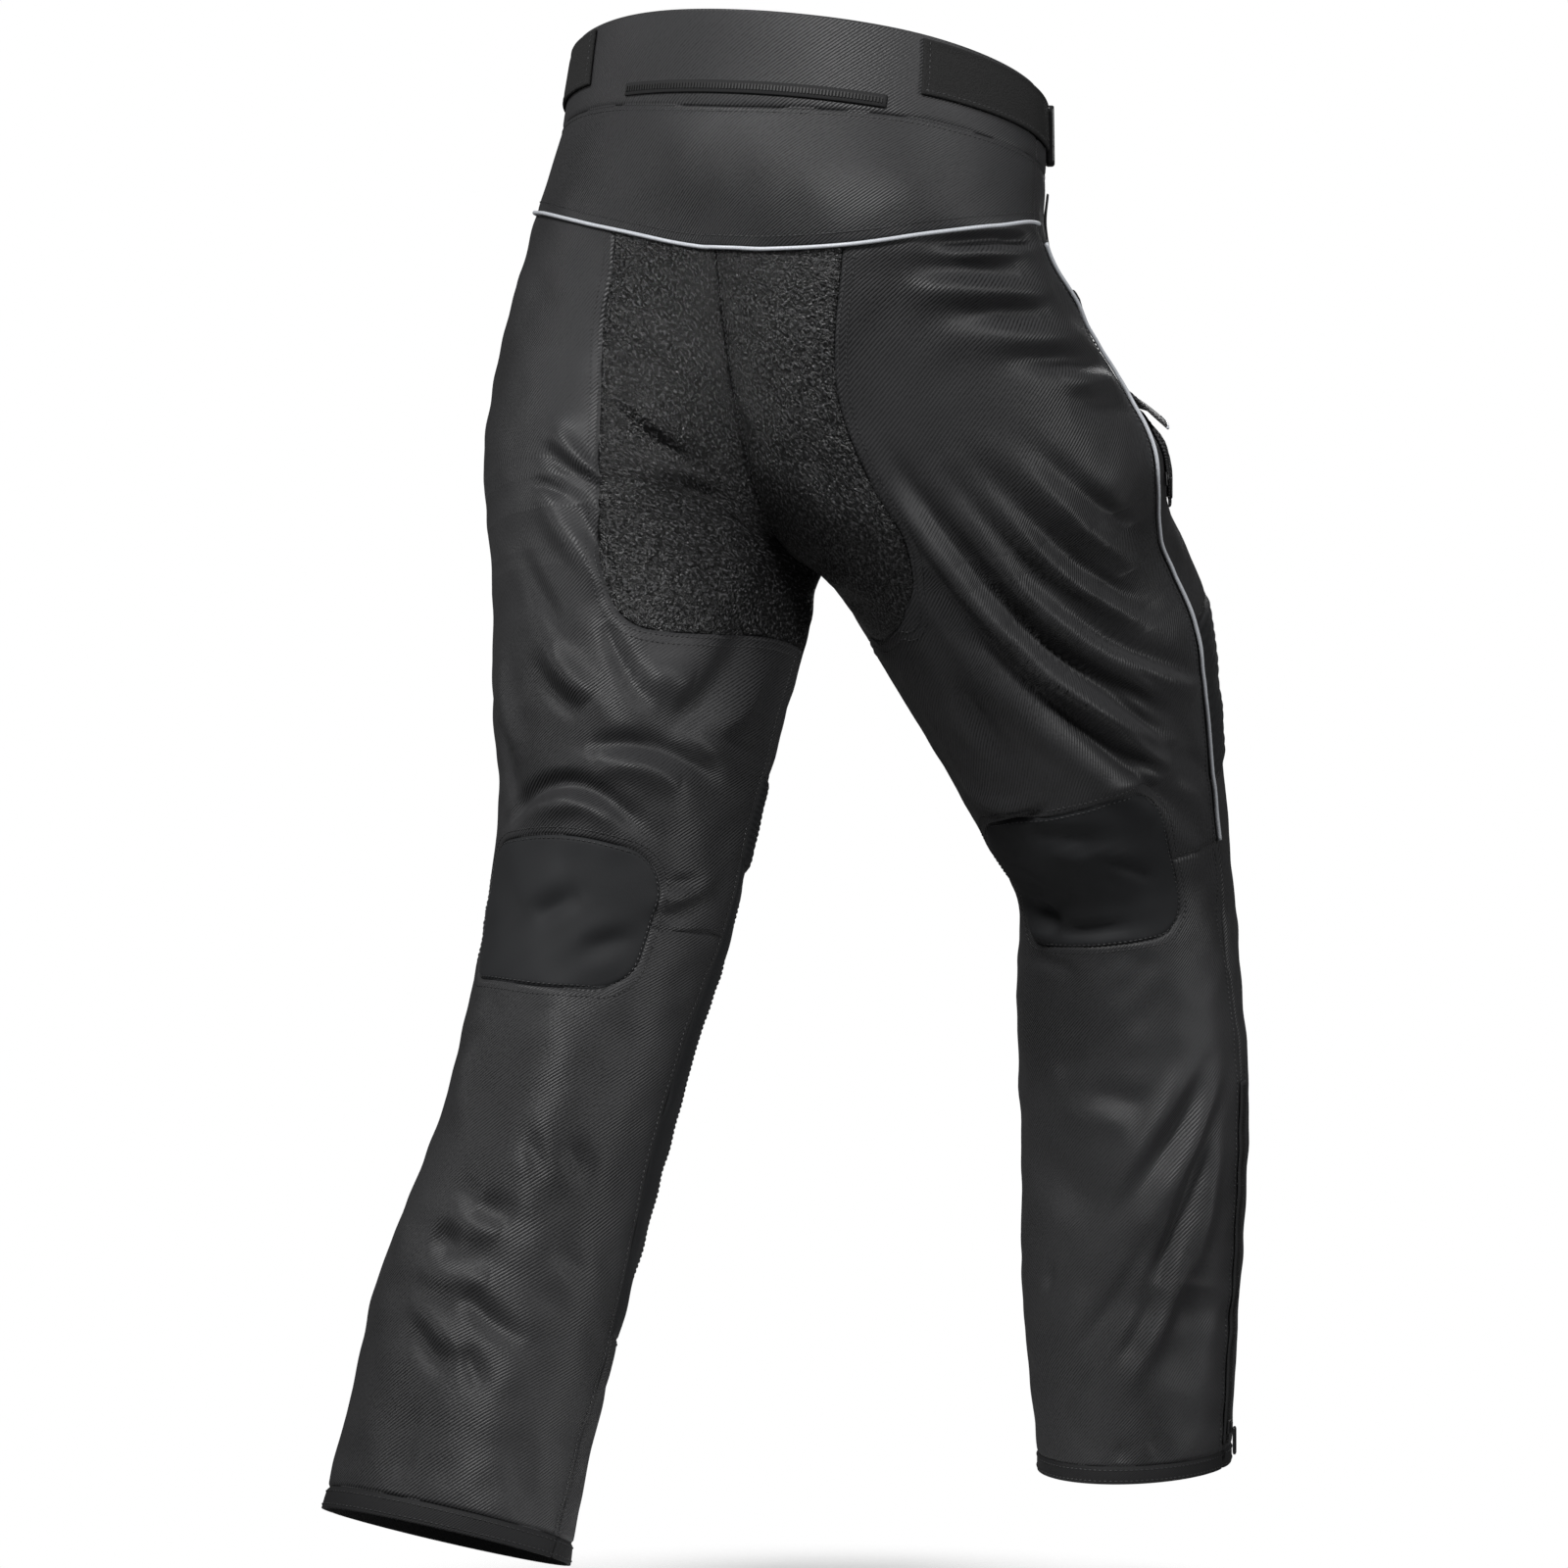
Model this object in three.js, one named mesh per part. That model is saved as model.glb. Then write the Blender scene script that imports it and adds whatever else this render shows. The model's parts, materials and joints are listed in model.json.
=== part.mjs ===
// Motorcycle trousers, worn and filled out in a stride: the left leg trails, the right knee is forward.
// Millimetres. +X is the wearer's left, +Y the back, +Z up. The origin is the middle of the waist opening.
// Every cloth piece is a thin wall cut from one surface, which is drawn from sections down each leg.
import * as THREE from "three";

// Driving sizes
const CLOTH = 2.0; // thickness of a sewn wall, outer cloth and lining together
const SEAM_GAP = 0.3; // clear space between two pieces at a seam
const LIFT = 0.3; // clear space under a cord or tape that runs along a seam
const LAID_LIFT = 0.85; // clear space under a flap or strap that lies on a panel
const FORK = 344; // distance down from the waist to the crotch
const HEM = 1000; // distance down from the waist to the bottom edge
const HEM_BAND_TOP = 986;
const SIDE_COLUMN = 12;
const LAST_COLUMN = 24;
const SEAT_COLUMN = 5;
const PATCH_COLUMNS = [3, 10];
const STRIP_COLUMN = 22;
const RIB_COUNT = 14;
const RIB_HEIGHT = 2.4;

const table = (columns, rows) =>
  rows.map((values) => Object.fromEntries(columns.map((name, k) => [name, values[k]])));

// Sections of each leg, seen as ellipses cut by the middle plane above the crotch.
// down: distance from the waist, out and back: centre, up: height, wide and deep: half sizes,
// leanOut and leanBack: slope of the section's plane, turn: degrees that the inseam sits forward
const SECTION = ["down", "out", "back", "up", "wide", "deep", "leanOut", "leanBack", "turn"];
const SECTIONS = {
  left: table(SECTION, [
    [0, 0, 0, 0, 172, 120, 0.084, 0.283, 0],
    [60, 2, 8, -56, 178, 124, 0.075, 0.2, 0],
    [110, 5, 18, -103, 187, 128, 0.05, 0.12, 0],
    [170, 22, 22, -160, 186, 134, 0.03, 0.14, 0],
    [230, 48, 28, -222, 172, 134, 0.02, 0.18, 0],
    [290, 82, 42, -284, 138, 130, 0, 0.22, 10],
    [344, 102, 57, -338, 102, 124, 0, 0.25, 32],
    [400, 98, 70, -392, 98, 116, 0, 0.25, 28],
    [470, 92, 92, -466, 95, 105, 0, 0.25, 18],
    [520, 90, 105, -516, 86, 98, 0.02, 0.26, 13],
    [585, 95, 121, -583, 83, 88, 0.06, 0.29, 10],
    [665, 104, 148, -663, 77, 80, 0.1, 0.33, 2],
    [750, 115, 178, -749, 75, 78, 0.15, 0.34, 0],
    [850, 135, 213, -850, 83, 73, 0.16, 0.33, 6],
    [930, 144, 239, -930, 83, 70, 0.126, 0.33, 0],
    [1000, 150, 261, -999, 87, 68, 0.126, 0.3, -10],
  ]),
  right: table(SECTION, [
    [0, 0, 0, 0, 172, 120, -0.084, 0.283, 0],
    [60, -2, 8, -56, 178, 124, -0.075, 0.2, 0],
    [110, -3, 18, -103, 182, 128, -0.05, 0.12, 0],
    [170, 12, -4, -160, 182, 134, -0.03, 0.02, 0],
    [230, 42, -38, -222, 168, 134, 0.02, -0.18, 0],
    [290, 82, -78, -282, 144, 132, 0.06, -0.36, -10],
    [344, 110, -114, -336, 110, 128, 0.1, -0.47, -32],
    [400, 128, -148, -392, 106, 122, 0.118, -0.5, -26],
    [455, 140, -178, -450, 93, 115, 0.118, -0.5, -15],
    [510, 146, -206, -507, 83, 108, 0.1, -0.42, -10],
    [565, 152, -230, -564, 76, 95, 0.06, -0.25, -5],
    [650, 152, -240, -650, 82, 88, 0.01, -0.07, 0],
    [714, 154, -244, -714, 84, 86, 0, -0.05, 0],
    [790, 153, -247, -790, 82, 86, 0, -0.05, 0],
    [864, 150, -250, -864, 80, 86, 0, -0.05, 0],
    [950, 151, -252, -950, 72, 87, 0, -0.05, 0],
    [1000, 151, -254, -996, 69, 88, 0, -0.05, 0],
  ]),
};

// Seam lines across a leg: around (0 inseam at the back, 0.5 outer side, 1 inseam at the front), down
const LINE = ["around", "down"];
const SEAM_LINES = {
  left: {
    waist: table(LINE, [[0, 0], [1, 0]]),
    band: table(LINE, [[0, 62], [0.3, 57], [0.5, 56], [1, 56]]),
    yoke: table(LINE, [[0, 153], [0.5, 109], [1, 106]]),
    fork: table(LINE, [[0, FORK], [1, FORK]]),
    seat: table(LINE, [[0, 404], [0.17, 423], [0.5, 420], [1, 404]]),
    ribTop: table(LINE, [[0, 487], [0.5, 455], [1, 487]]),
    patchTop: table(LINE, [[0, 543], [0.12, 562], [0.25, 558], [0.4, 560], [0.5, 545], [1, 543]]),
    knee: table(LINE, [[0, 594], [0.12, 606], [0.4, 606], [0.5, 596], [1, 594]]),
    patchEnd: table(LINE, [[0, 650], [0.12, 652], [0.25, 659], [0.4, 654], [0.5, 650], [1, 650]]),
    stripEnd: table(LINE, [[0, 850], [1, 850]]),
    hemBand: table(LINE, [[0, HEM_BAND_TOP], [1, HEM_BAND_TOP]]),
    hem: table(LINE, [[0, HEM], [1, HEM]]),
  },
  right: {
    waist: table(LINE, [[0, 0], [1, 0]]),
    band: table(LINE, [[0, 62], [0.3, 57], [0.5, 56], [1, 56]]),
    yoke: table(LINE, [[0, 153], [0.5, 109], [1, 106]]),
    fork: table(LINE, [[0, FORK], [0.12, 322], [0.3, 308], [0.7, 308], [1, FORK]]),
    seat: table(LINE, [[0, 392], [0.1, 368], [0.2, 340], [0.6, 345], [1, 392]]),
    ribTop: table(LINE, [[0, 440], [0.5, 405], [1, 440]]),
    patchTop: table(LINE, [
      [0, 505], [0.1, 484], [0.22, 470], [0.35, 472], [0.42, 482], [0.5, 505], [1, 505],
    ]),
    knee: table(LINE, [[0, 548], [0.12, 540], [0.4, 538], [0.5, 543], [1, 548]]),
    patchEnd: table(LINE, [[0, 598], [0.12, 596], [0.25, 598], [0.4, 596], [1, 598]]),
    stripEnd: table(LINE, [[0, 850], [1, 850]]),
    hemBand: table(LINE, [[0, HEM_BAND_TOP], [1, HEM_BAND_TOP]]),
    hem: table(LINE, [[0, HEM], [1, HEM]]),
  },
};

// Rows of the cloth between one seam line and the next, and how strongly they crowd to the lower line
const STRETCHES = table(["from", "to", "rows", "crowd"], [
  ["waist", "band", 2, 1],
  ["band", "yoke", 3, 1],
  ["yoke", "fork", 8, 1.8],
  ["fork", "seat", 3, 1],
  ["seat", "ribTop", 2, 1],
  ["ribTop", "patchTop", 4, 1],
  ["patchTop", "knee", 2, 1],
  ["knee", "patchEnd", 2, 1],
  ["patchEnd", "stripEnd", 6, 1],
  ["stripEnd", "hemBand", 5, 1],
  ["hemBand", "hem", 1, 1],
]);

// Seam lines down a leg: down, around
const DOWN_LINE = ["down", "around"];
const SEAT_EDGE = {
  left: table(DOWN_LINE, [
    [0, 0.18], [150, 0.178], [216, 0.2], [292, 0.2], [374, 0.223], [406, 0.217], [HEM, 0.2],
  ]),
  right: table(DOWN_LINE, [
    [0, 0.18], [150, 0.195], [220, 0.18], [266, 0.195], [295, 0.212], [340, 0.2], [HEM, 0.2],
  ]),
};
const SIDE_SEAM = table(DOWN_LINE, [
  [0, 0.5], [109, 0.505], [170, 0.545], [240, 0.555], [300, 0.515], [400, 0.5], [HEM, 0.5],
]);
const PATCH_EDGES = [0.12, 0.403];
const STRIP_EDGE = 0.93;
const COLUMN_SHIFT = { left: [430, 90], right: [350, 110] }; // where columns move from seat to knee places

// The largest folds: ridges and troughs from one place to another, with their width and height
const FOLD = ["around", "down", "toAround", "toDown", "wide", "high"];
const FOLDS = {
  left: table(FOLD, [
    [0.32, 232, 0.08, 296, 15, 4],
    [0.34, 268, 0.07, 330, 15, -5],
    [0.38, 246, 0.26, 320, 13, 5],
    [0.42, 300, 0.24, 400, 14, -4],
    [0.1, 430, 0.3, 482, 15, -6],
    [0.3, 470, 0.12, 520, 15, 5],
    [0.36, 500, 0.08, 540, 14, -5],
    [0.7, 300, 0.92, 360, 16, 5],
    [0.6, 340, 0.9, 420, 16, -5],
    [0.12, 700, 0.4, 760, 20, 3],
    [0.14, 770, 0.4, 800, 18, -4],
    [0.08, 860, 0.36, 930, 22, 4],
    [0.6, 700, 0.9, 760, 20, -3],
    [0.62, 820, 0.92, 880, 22, 4],
  ]),
  right: table(FOLD, [
    [0.3, 138, 0.52, 128, 9, -6],
    [0.28, 158, 0.52, 152, 10, 5],
    [0.3, 190, 0.54, 176, 12, -5],
    [0.28, 222, 0.56, 214, 14, 6],
    [0.24, 262, 0.46, 372, 13, -5],
    [0.24, 292, 0.42, 392, 12, 5],
    [0.22, 318, 0.44, 448, 12, -6],
    [0.2, 350, 0.46, 486, 13, 6],
    [0.18, 392, 0.42, 500, 13, -5],
    [0.6, 130, 0.9, 170, 14, -7],
    [0.58, 200, 0.92, 215, 16, 7],
    [0.66, 250, 0.94, 260, 14, -5],
    [0.18, 660, 0.42, 610, 16, 4],
    [0.16, 790, 0.42, 690, 18, -5],
    [0.14, 870, 0.4, 760, 20, 4],
    [0.6, 640, 0.88, 700, 18, -4],
    [0.62, 800, 0.9, 860, 20, 4],
  ]),
};

const smooth = (x) => {
  const t = Math.min(Math.max(x, 0), 1);
  return t * t * (3 - 2 * t);
};

// A smooth value between the rows of a table, read at a place in its first column
function along(rows, key, name, place) {
  const last = rows.length - 1;
  const x = Math.min(Math.max(place, rows[0][key]), rows[last][key]);
  let k = 0;
  while (k < last - 1 && rows[k + 1][key] <= x) k += 1;
  const slope = (i) => {
    const a = rows[Math.max(i - 1, 0)];
    const b = rows[Math.min(i + 1, last)];
    return (b[name] - a[name]) / (b[key] - a[key]);
  };
  const step = rows[k + 1][key] - rows[k][key];
  const t = (x - rows[k][key]) / step;
  const rise = (2 * t ** 3 - 3 * t ** 2 + 1) * rows[k][name] + (3 * t ** 2 - 2 * t ** 3) * rows[k + 1][name];
  return rise + (t ** 3 - 2 * t ** 2 + t) * step * slope(k) + (t ** 3 - t ** 2) * step * slope(k + 1);
}

// A value that eases from one row of a line to the next, level at each row
function eased(rows, key, name, place) {
  const last = rows.length - 1;
  let k = 0;
  while (k < last - 1 && rows[k + 1][key] <= place) k += 1;
  const t = (place - rows[k][key]) / (rows[k + 1][key] - rows[k][key]);
  return rows[k][name] + (rows[k + 1][name] - rows[k][name]) * smooth(t);
}

const sectionAt = (leg, down) =>
  Object.fromEntries(SECTION.slice(1).map((name) => [name, along(SECTIONS[leg], "down", name, down)]));

const sign = (leg) => (leg === "left" ? 1 : -1);

// How far round its ellipse a half ring reaches before it meets the middle plane
function cutAngle(section, down) {
  if (down >= FORK) return Math.PI;
  return Math.acos(Math.min(Math.max(-section.out / section.wide, -1), 1));
}

function ellipsePoint(leg, section, angle) {
  const out = section.out + section.wide * Math.cos(angle);
  const back = section.back + section.deep * Math.sin(angle);
  const up = section.up + section.leanOut * (out - section.out) + section.leanBack * (back - section.back);
  return new THREE.Vector3(out * sign(leg), back, up);
}

// Angle on the ellipse: even near the outer side, and taking up the difference towards the inseam
const EVEN_BELOW = 420;
function ringAngle(section, around, down) {
  const turn = THREE.MathUtils.degToRad(section.turn);
  const atBack = around < 0.5;
  const reach = cutAngle(section, down) + (atBack ? turn : -turn);
  const even = (Math.PI / 2) * (1 + smooth(down / EVEN_BELOW));
  const t = Math.abs(1 - 2 * around);
  return (atBack ? 1 : -1) * (even * t + (reach - even) * t ** 3);
}

function plainRing(leg, around, down) {
  const section = sectionAt(leg, down);
  return ellipsePoint(leg, section, ringAngle(section, around, down));
}

// The seam up the middle of the body: halfway between the ends of the two half rings
const SEAM_SHIFT = 9; // the centre-back seam sits to the wearer's left at the waist
const seamShift = (down) => SEAM_SHIFT * (1 - smooth(down / FORK));
function middleSeam(end, down) {
  const place = Math.min(down, FORK);
  const sum = new THREE.Vector3();
  for (const leg of ["left", "right"]) {
    const section = sectionAt(leg, place);
    const back = section.back + section.deep * Math.sin(cutAngle(section, place)) * (end === 0 ? 1 : -1);
    const up = section.up - section.leanOut * section.out + section.leanBack * (back - section.back);
    sum.add(new THREE.Vector3(0, back, up));
  }
  sum.multiplyScalar(0.5);
  sum.x = end === 0 ? seamShift(place) : 0;
  return sum;
}

const PULL_WIDTH = 0.27; // share of the ring over which an end is drawn to the middle seam
const PULL_BELOW = 150; // distance under the crotch over which that dies out
const CLEAR = 8; // softness of the inner thigh where it would cross the middle plane
function formPoint(leg, around, down) {
  const point = plainRing(leg, around, down);
  const fade = 1 - smooth((down - FORK) / PULL_BELOW);
  const place = Math.min(down, FORK);
  const weights = [1 - smooth(around / PULL_WIDTH), 1 - smooth((1 - around) / PULL_WIDTH)];
  for (const end of [0, 1]) {
    if (weights[end] * fade === 0) continue;
    const pull = middleSeam(end, down).sub(plainRing(leg, end, place));
    point.addScaledVector(pull, weights[end] * fade);
  }
  const edge = sign(leg) * seamShift(place) * weights[0];
  const over = point.x * sign(leg) - edge;
  const soft = CLEAR * smooth(Math.min(around, 1 - around) / 0.06);
  point.x = sign(leg) * (edge + (over + Math.sqrt(over * over + soft * soft)) / 2);
  return point;
}

// Outward direction of the form, taken over a stretch wide enough to pass over its small turns
const NORMAL_REACH = { around: 0.03, down: 12 };
function formNormal(leg, around, down) {
  const { around: across, down: drop } = NORMAL_REACH;
  const [a, b] = [Math.max(around - across, 0), Math.min(around + across, 1)];
  const [c, d] = [Math.max(down - drop, 0), Math.min(down + drop, HEM)];
  const du = formPoint(leg, b, down).sub(formPoint(leg, a, down));
  const dv = formPoint(leg, around, d).sub(formPoint(leg, around, c));
  return du.cross(dv).multiplyScalar(sign(leg)).normalize();
}

// Outward direction, shared by every piece that meets at a seam
function outward(leg, around, down) {
  const other = leg === "left" ? "right" : "left";
  const sum = formNormal(leg, around, down);
  const onEnd = around === 0 || around === 1;
  if (onEnd && down <= FORK) sum.add(formNormal(other, around, down));
  if (onEnd && down >= FORK) sum.add(formNormal(leg, 1 - around, down));
  if (onEnd && down === FORK) sum.add(formNormal(other, 1 - around, down));
  if (onEnd && down <= FORK) sum.x = 0;
  return sum.normalize();
}

function foldHeight(leg, around, down) {
  const section = sectionAt(leg, down);
  const girth = cutAngle(section, down) * (section.wide + section.deep);
  const calm = smooth(Math.min(around, 1 - around) / 0.05);
  let height = 0;
  for (const fold of FOLDS[leg]) {
    const run = new THREE.Vector2((fold.toAround - fold.around) * girth, fold.toDown - fold.down);
    const place = new THREE.Vector2((around - fold.around) * girth, down - fold.down);
    const t = THREE.MathUtils.clamp(place.dot(run) / run.lengthSq(), 0, 1);
    const away = place.distanceTo(run.clone().multiplyScalar(t));
    height += fold.high * Math.exp(-((away / fold.wide) ** 2)) * Math.sin(Math.PI * t);
  }
  return height * calm;
}

// A point of the cloth's outer face with its outward direction
function clothPoint(leg, around, down) {
  const out = outward(leg, around, down);
  const point = formPoint(leg, around, down).addScaledVector(out, foldHeight(leg, around, down));
  return { point, out };
}

// Lattice of columns round a leg and rows down it, on which the seams lie
const ROW = {};
let rowCount = 0;
for (const stretch of STRETCHES) {
  ROW[stretch.from] = rowCount;
  rowCount += stretch.rows;
  ROW[stretch.to] = rowCount;
}

function rowDown(leg, row, around) {
  const lines = SEAM_LINES[leg];
  let at = row;
  for (const stretch of STRETCHES) {
    if (at <= stretch.rows) {
      const upper = eased(lines[stretch.from], "around", "down", around);
      const lower = eased(lines[stretch.to], "around", "down", around);
      const share = 1 - (1 - at / stretch.rows) ** stretch.crowd;
      return upper + (lower - upper) * share;
    }
    at -= stretch.rows;
  }
  return HEM;
}

const share = (value, from, to) => (value - from) / (to - from);
const between = (from, to, t) => from + (to - from) * t;

function columnAround(leg, column, down) {
  const side = along(SIDE_SEAM, "down", "around", down);
  if (column >= STRIP_COLUMN) return between(STRIP_EDGE, 1, share(column, STRIP_COLUMN, LAST_COLUMN));
  if (column >= SIDE_COLUMN) return between(side, STRIP_EDGE, share(column, SIDE_COLUMN, STRIP_COLUMN));
  const seat = along(SEAT_EDGE[leg], "down", "around", down);
  const [patchIn, patchOut] = PATCH_COLUMNS;
  const seatPlace =
    column <= SEAT_COLUMN
      ? (seat * column) / SEAT_COLUMN
      : between(seat, side, share(column, SEAT_COLUMN, SIDE_COLUMN));
  let kneePlace = between(PATCH_EDGES[1], side, share(column, patchOut, SIDE_COLUMN));
  if (column <= patchOut) kneePlace = between(...PATCH_EDGES, share(column, patchIn, patchOut));
  if (column <= patchIn) kneePlace = (PATCH_EDGES[0] * column) / patchIn;
  const [start, length] = COLUMN_SHIFT[leg];
  return between(seatPlace, kneePlace, smooth((down - start) / length));
}

// Corners that are cut round: leg, row, column, and how far the corner moves round and down
const ROUND = 8;
const USUAL_GIRTH = 560;
const CORNERS = [];
for (const leg of ["left", "right"]) {
  CORNERS.push({ leg, row: "seat", column: SEAT_COLUMN, round: -1, drop: -1 });
  CORNERS.push({ leg, row: "patchTop", column: PATCH_COLUMNS[0], round: 1, drop: 1 });
  CORNERS.push({ leg, row: "patchTop", column: PATCH_COLUMNS[1], round: -1, drop: 1 });
  CORNERS.push({ leg, row: "patchEnd", column: PATCH_COLUMNS[0], round: 1, drop: -1 });
  CORNERS.push({ leg, row: "patchEnd", column: PATCH_COLUMNS[1], round: -1, drop: -1 });
}

const latticeCache = new Map();
function lattice(leg, row, column) {
  const atInseam = column === LAST_COLUMN && row >= ROW.fork;
  const columnUsed = atInseam ? 0 : column;
  const onSeam = (columnUsed === 0 || columnUsed === LAST_COLUMN) && row <= ROW.fork;
  const forkPoint = onSeam && row === ROW.fork;
  const name = forkPoint ? "fork" : [onSeam ? "middle" : leg, row, columnUsed].join(" ");
  if (!latticeCache.has(name)) {
    let around = columnUsed === LAST_COLUMN ? 1 : 0;
    let down = rowDown(leg, row, around);
    if (columnUsed > 0 && columnUsed < LAST_COLUMN) {
      around = columnUsed / LAST_COLUMN;
      for (let pass = 0; pass < 4; pass += 1) {
        down = rowDown(leg, row, around);
        around = columnAround(leg, columnUsed, down);
      }
    }
    const corner = CORNERS.find((c) => c.leg === leg && ROW[c.row] === row && c.column === columnUsed);
    if (corner) {
      around += (corner.round * ROUND) / USUAL_GIRTH;
      down += corner.drop * ROUND;
    }
    latticeCache.set(name, { name, around, down, ...clothPoint(leg, around, down) });
  }
  return latticeCache.get(name);
}

// Cells of the lattice as four corners in order, seen from outside
function cells(leg, rows, columns, leaveOut = () => false) {
  const found = [];
  for (let row = rows[0]; row < rows[1]; row += 1) {
    for (let column = columns[0]; column < columns[1]; column += 1) {
      if (leaveOut(row, column)) continue;
      const a = lattice(leg, row, column);
      const b = lattice(leg, row, column + 1);
      const c = lattice(leg, row + 1, column + 1);
      const d = lattice(leg, row + 1, column);
      found.push(leg === "left" ? [a, b, c, d] : [a, d, c, b]);
    }
  }
  return found;
}

// A closed wall from cells: outer face, inner face a cloth's thickness in, and edges drawn back from the seam
function sewnWall(quads, { thickness = CLOTH, inset = SEAM_GAP / 2, lift = 0 } = {}) {
  const corners = new Map();
  const number = (corner) => {
    if (!corners.has(corner.name)) corners.set(corner.name, { ...corner, id: corners.size, back: [] });
    return corners.get(corner.name);
  };
  const faces = quads.map((quad) => quad.map(number));
  const edges = new Map();
  for (const face of faces) {
    face.forEach((from, k) => edges.set(from.id + " " + face[(k + 1) % 4].id, [from, face[(k + 1) % 4]]));
  }
  const rim = [...edges.values()].filter(([from, to]) => !edges.has(to.id + " " + from.id));
  for (const [from, to] of rim) {
    const run = to.point.clone().sub(from.point);
    for (const corner of [from, to]) corner.back.push(corner.out.clone().cross(run).normalize());
  }
  const positions = [];
  const list = [...corners.values()];
  for (const corner of list) {
    const shift = new THREE.Vector3();
    if (corner.back.length > 1) {
      const [one, two] = corner.back;
      shift.addVectors(one, two).multiplyScalar(inset / Math.max(1 + one.dot(two), 0.35));
    }
    const off = lift + (corner.stand || 0);
    corner.outer = corner.point.clone().add(shift).addScaledVector(corner.out, off + (corner.raise || 0));
    corner.inner = corner.point.clone().add(shift).addScaledVector(corner.out, off - thickness);
  }
  for (const corner of list) positions.push(...corner.outer.toArray());
  for (const corner of list) positions.push(...corner.inner.toArray());
  const under = list.length;
  const index = [];
  for (const [a, b, c, d] of faces) {
    const shortAC = a.point.distanceTo(c.point) <= b.point.distanceTo(d.point);
    const halves = shortAC ? [[a, b, c], [a, c, d]] : [[a, b, d], [b, c, d]];
    for (const [p, q, r] of halves) {
      index.push(p.id, q.id, r.id);
      index.push(r.id + under, q.id + under, p.id + under);
    }
  }
  for (const [from, to] of rim) {
    const split = from.name < to.name;
    index.push(to.id, from.id, split ? to.id + under : from.id + under);
    index.push(split ? from.id : to.id, from.id + under, to.id + under);
  }
  const geometry = new THREE.BufferGeometry();
  geometry.setAttribute("position", new THREE.Float32BufferAttribute(positions, 3));
  geometry.setIndex(index);
  return geometry;
}

// The ribbed stretch panel: each stretch of the lattice's rows is cut fine, and every second row is raised
function ribbedCells(leg, rows, columns) {
  const fine = (2 * RIB_COUNT) / (rows[1] - rows[0]);
  const mid = (row, column) => {
    const whole = Math.min(Math.floor(row / fine), rows[1] - rows[0] - 1);
    const t = row / fine - whole;
    const upper = lattice(leg, rows[0] + whole, column);
    const lower = lattice(leg, rows[0] + whole + 1, column);
    if (t === 0) return upper;
    if (t === 1) return lower;
    const onEdge = column === columns[0] || column === columns[1];
    return {
      name: ["rib", leg, row, column].join(" "),
      point: upper.point.clone().lerp(lower.point, t),
      out: upper.out.clone().lerp(lower.out, t),
      raise: row % 2 === 1 && !onEdge ? RIB_HEIGHT : 0,
    };
  };
  const found = [];
  for (let row = 0; row < 2 * RIB_COUNT; row += 1) {
    for (let column = columns[0]; column < columns[1]; column += 1) {
      const quad = [mid(row, column), mid(row, column + 1), mid(row + 1, column + 1), mid(row + 1, column)];
      found.push(leg === "left" ? quad : [quad[0], quad[3], quad[2], quad[1]]);
    }
  }
  return found;
}

// Where a place falls on the lattice, as a row and a column that need not be whole
function gridPlace(leg, around, down) {
  const search = (low, high, short) => {
    for (let pass = 0; pass < 40; pass += 1) {
      const middle = (low + high) / 2;
      if (short(middle)) low = middle;
      else high = middle;
    }
    return low;
  };
  const column = search(0, LAST_COLUMN, (c) => columnAround(leg, c, down) < around);
  const row = search(0, rowCount, (r) => rowDown(leg, r, around) < down);
  return { row, column };
}

// A spot on the cloth at a row and a column, in line with the corners of its panel
function gridSpot(leg, row, column) {
  const [r, c] = [Math.min(Math.floor(row), rowCount - 1), Math.min(Math.floor(column), LAST_COLUMN - 1)];
  const [t, u] = [row - r, column - c];
  const mix = (name) => {
    const upper = lattice(leg, r, c)[name].clone().lerp(lattice(leg, r, c + 1)[name], u);
    const lower = lattice(leg, r + 1, c)[name].clone().lerp(lattice(leg, r + 1, c + 1)[name], u);
    return upper.lerp(lower, t);
  };
  const onMiddle = (column === 0 || column === LAST_COLUMN) && row <= ROW.fork;
  const name = [onMiddle ? "middle" : leg, "spot", row.toFixed(3), column.toFixed(3)].join(" ");
  return { name, row, column, point: mix("point"), out: mix("out").normalize() };
}

// A span with every whole number inside it
function steps(from, to) {
  const found = [from];
  for (let whole = Math.floor(from) + 1; whole < to; whole += 1) {
    if (whole - from > 0.08 && to - whole > 0.08) found.push(whole);
  }
  return [...found, to];
}

// Cells of a piece that lies on a panel; stand gives how far each spot stands off
function laidCells(leg, rows, columns, stand = () => 0) {
  const [down, round] = [steps(...rows), steps(...columns)];
  const spot = (r, c) => ({
    ...gridSpot(leg, down[r], round[c]),
    stand: stand(share(down[r], ...rows), share(round[c], ...columns)),
  });
  const found = [];
  for (let r = 0; r < down.length - 1; r += 1) {
    for (let c = 0; c < round.length - 1; c += 1) {
      const quad = [spot(r, c), spot(r, c + 1), spot(r + 1, c + 1), spot(r + 1, c)];
      found.push(leg === "left" ? quad : [quad[0], quad[3], quad[2], quad[1]]);
    }
  }
  return found;
}

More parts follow.
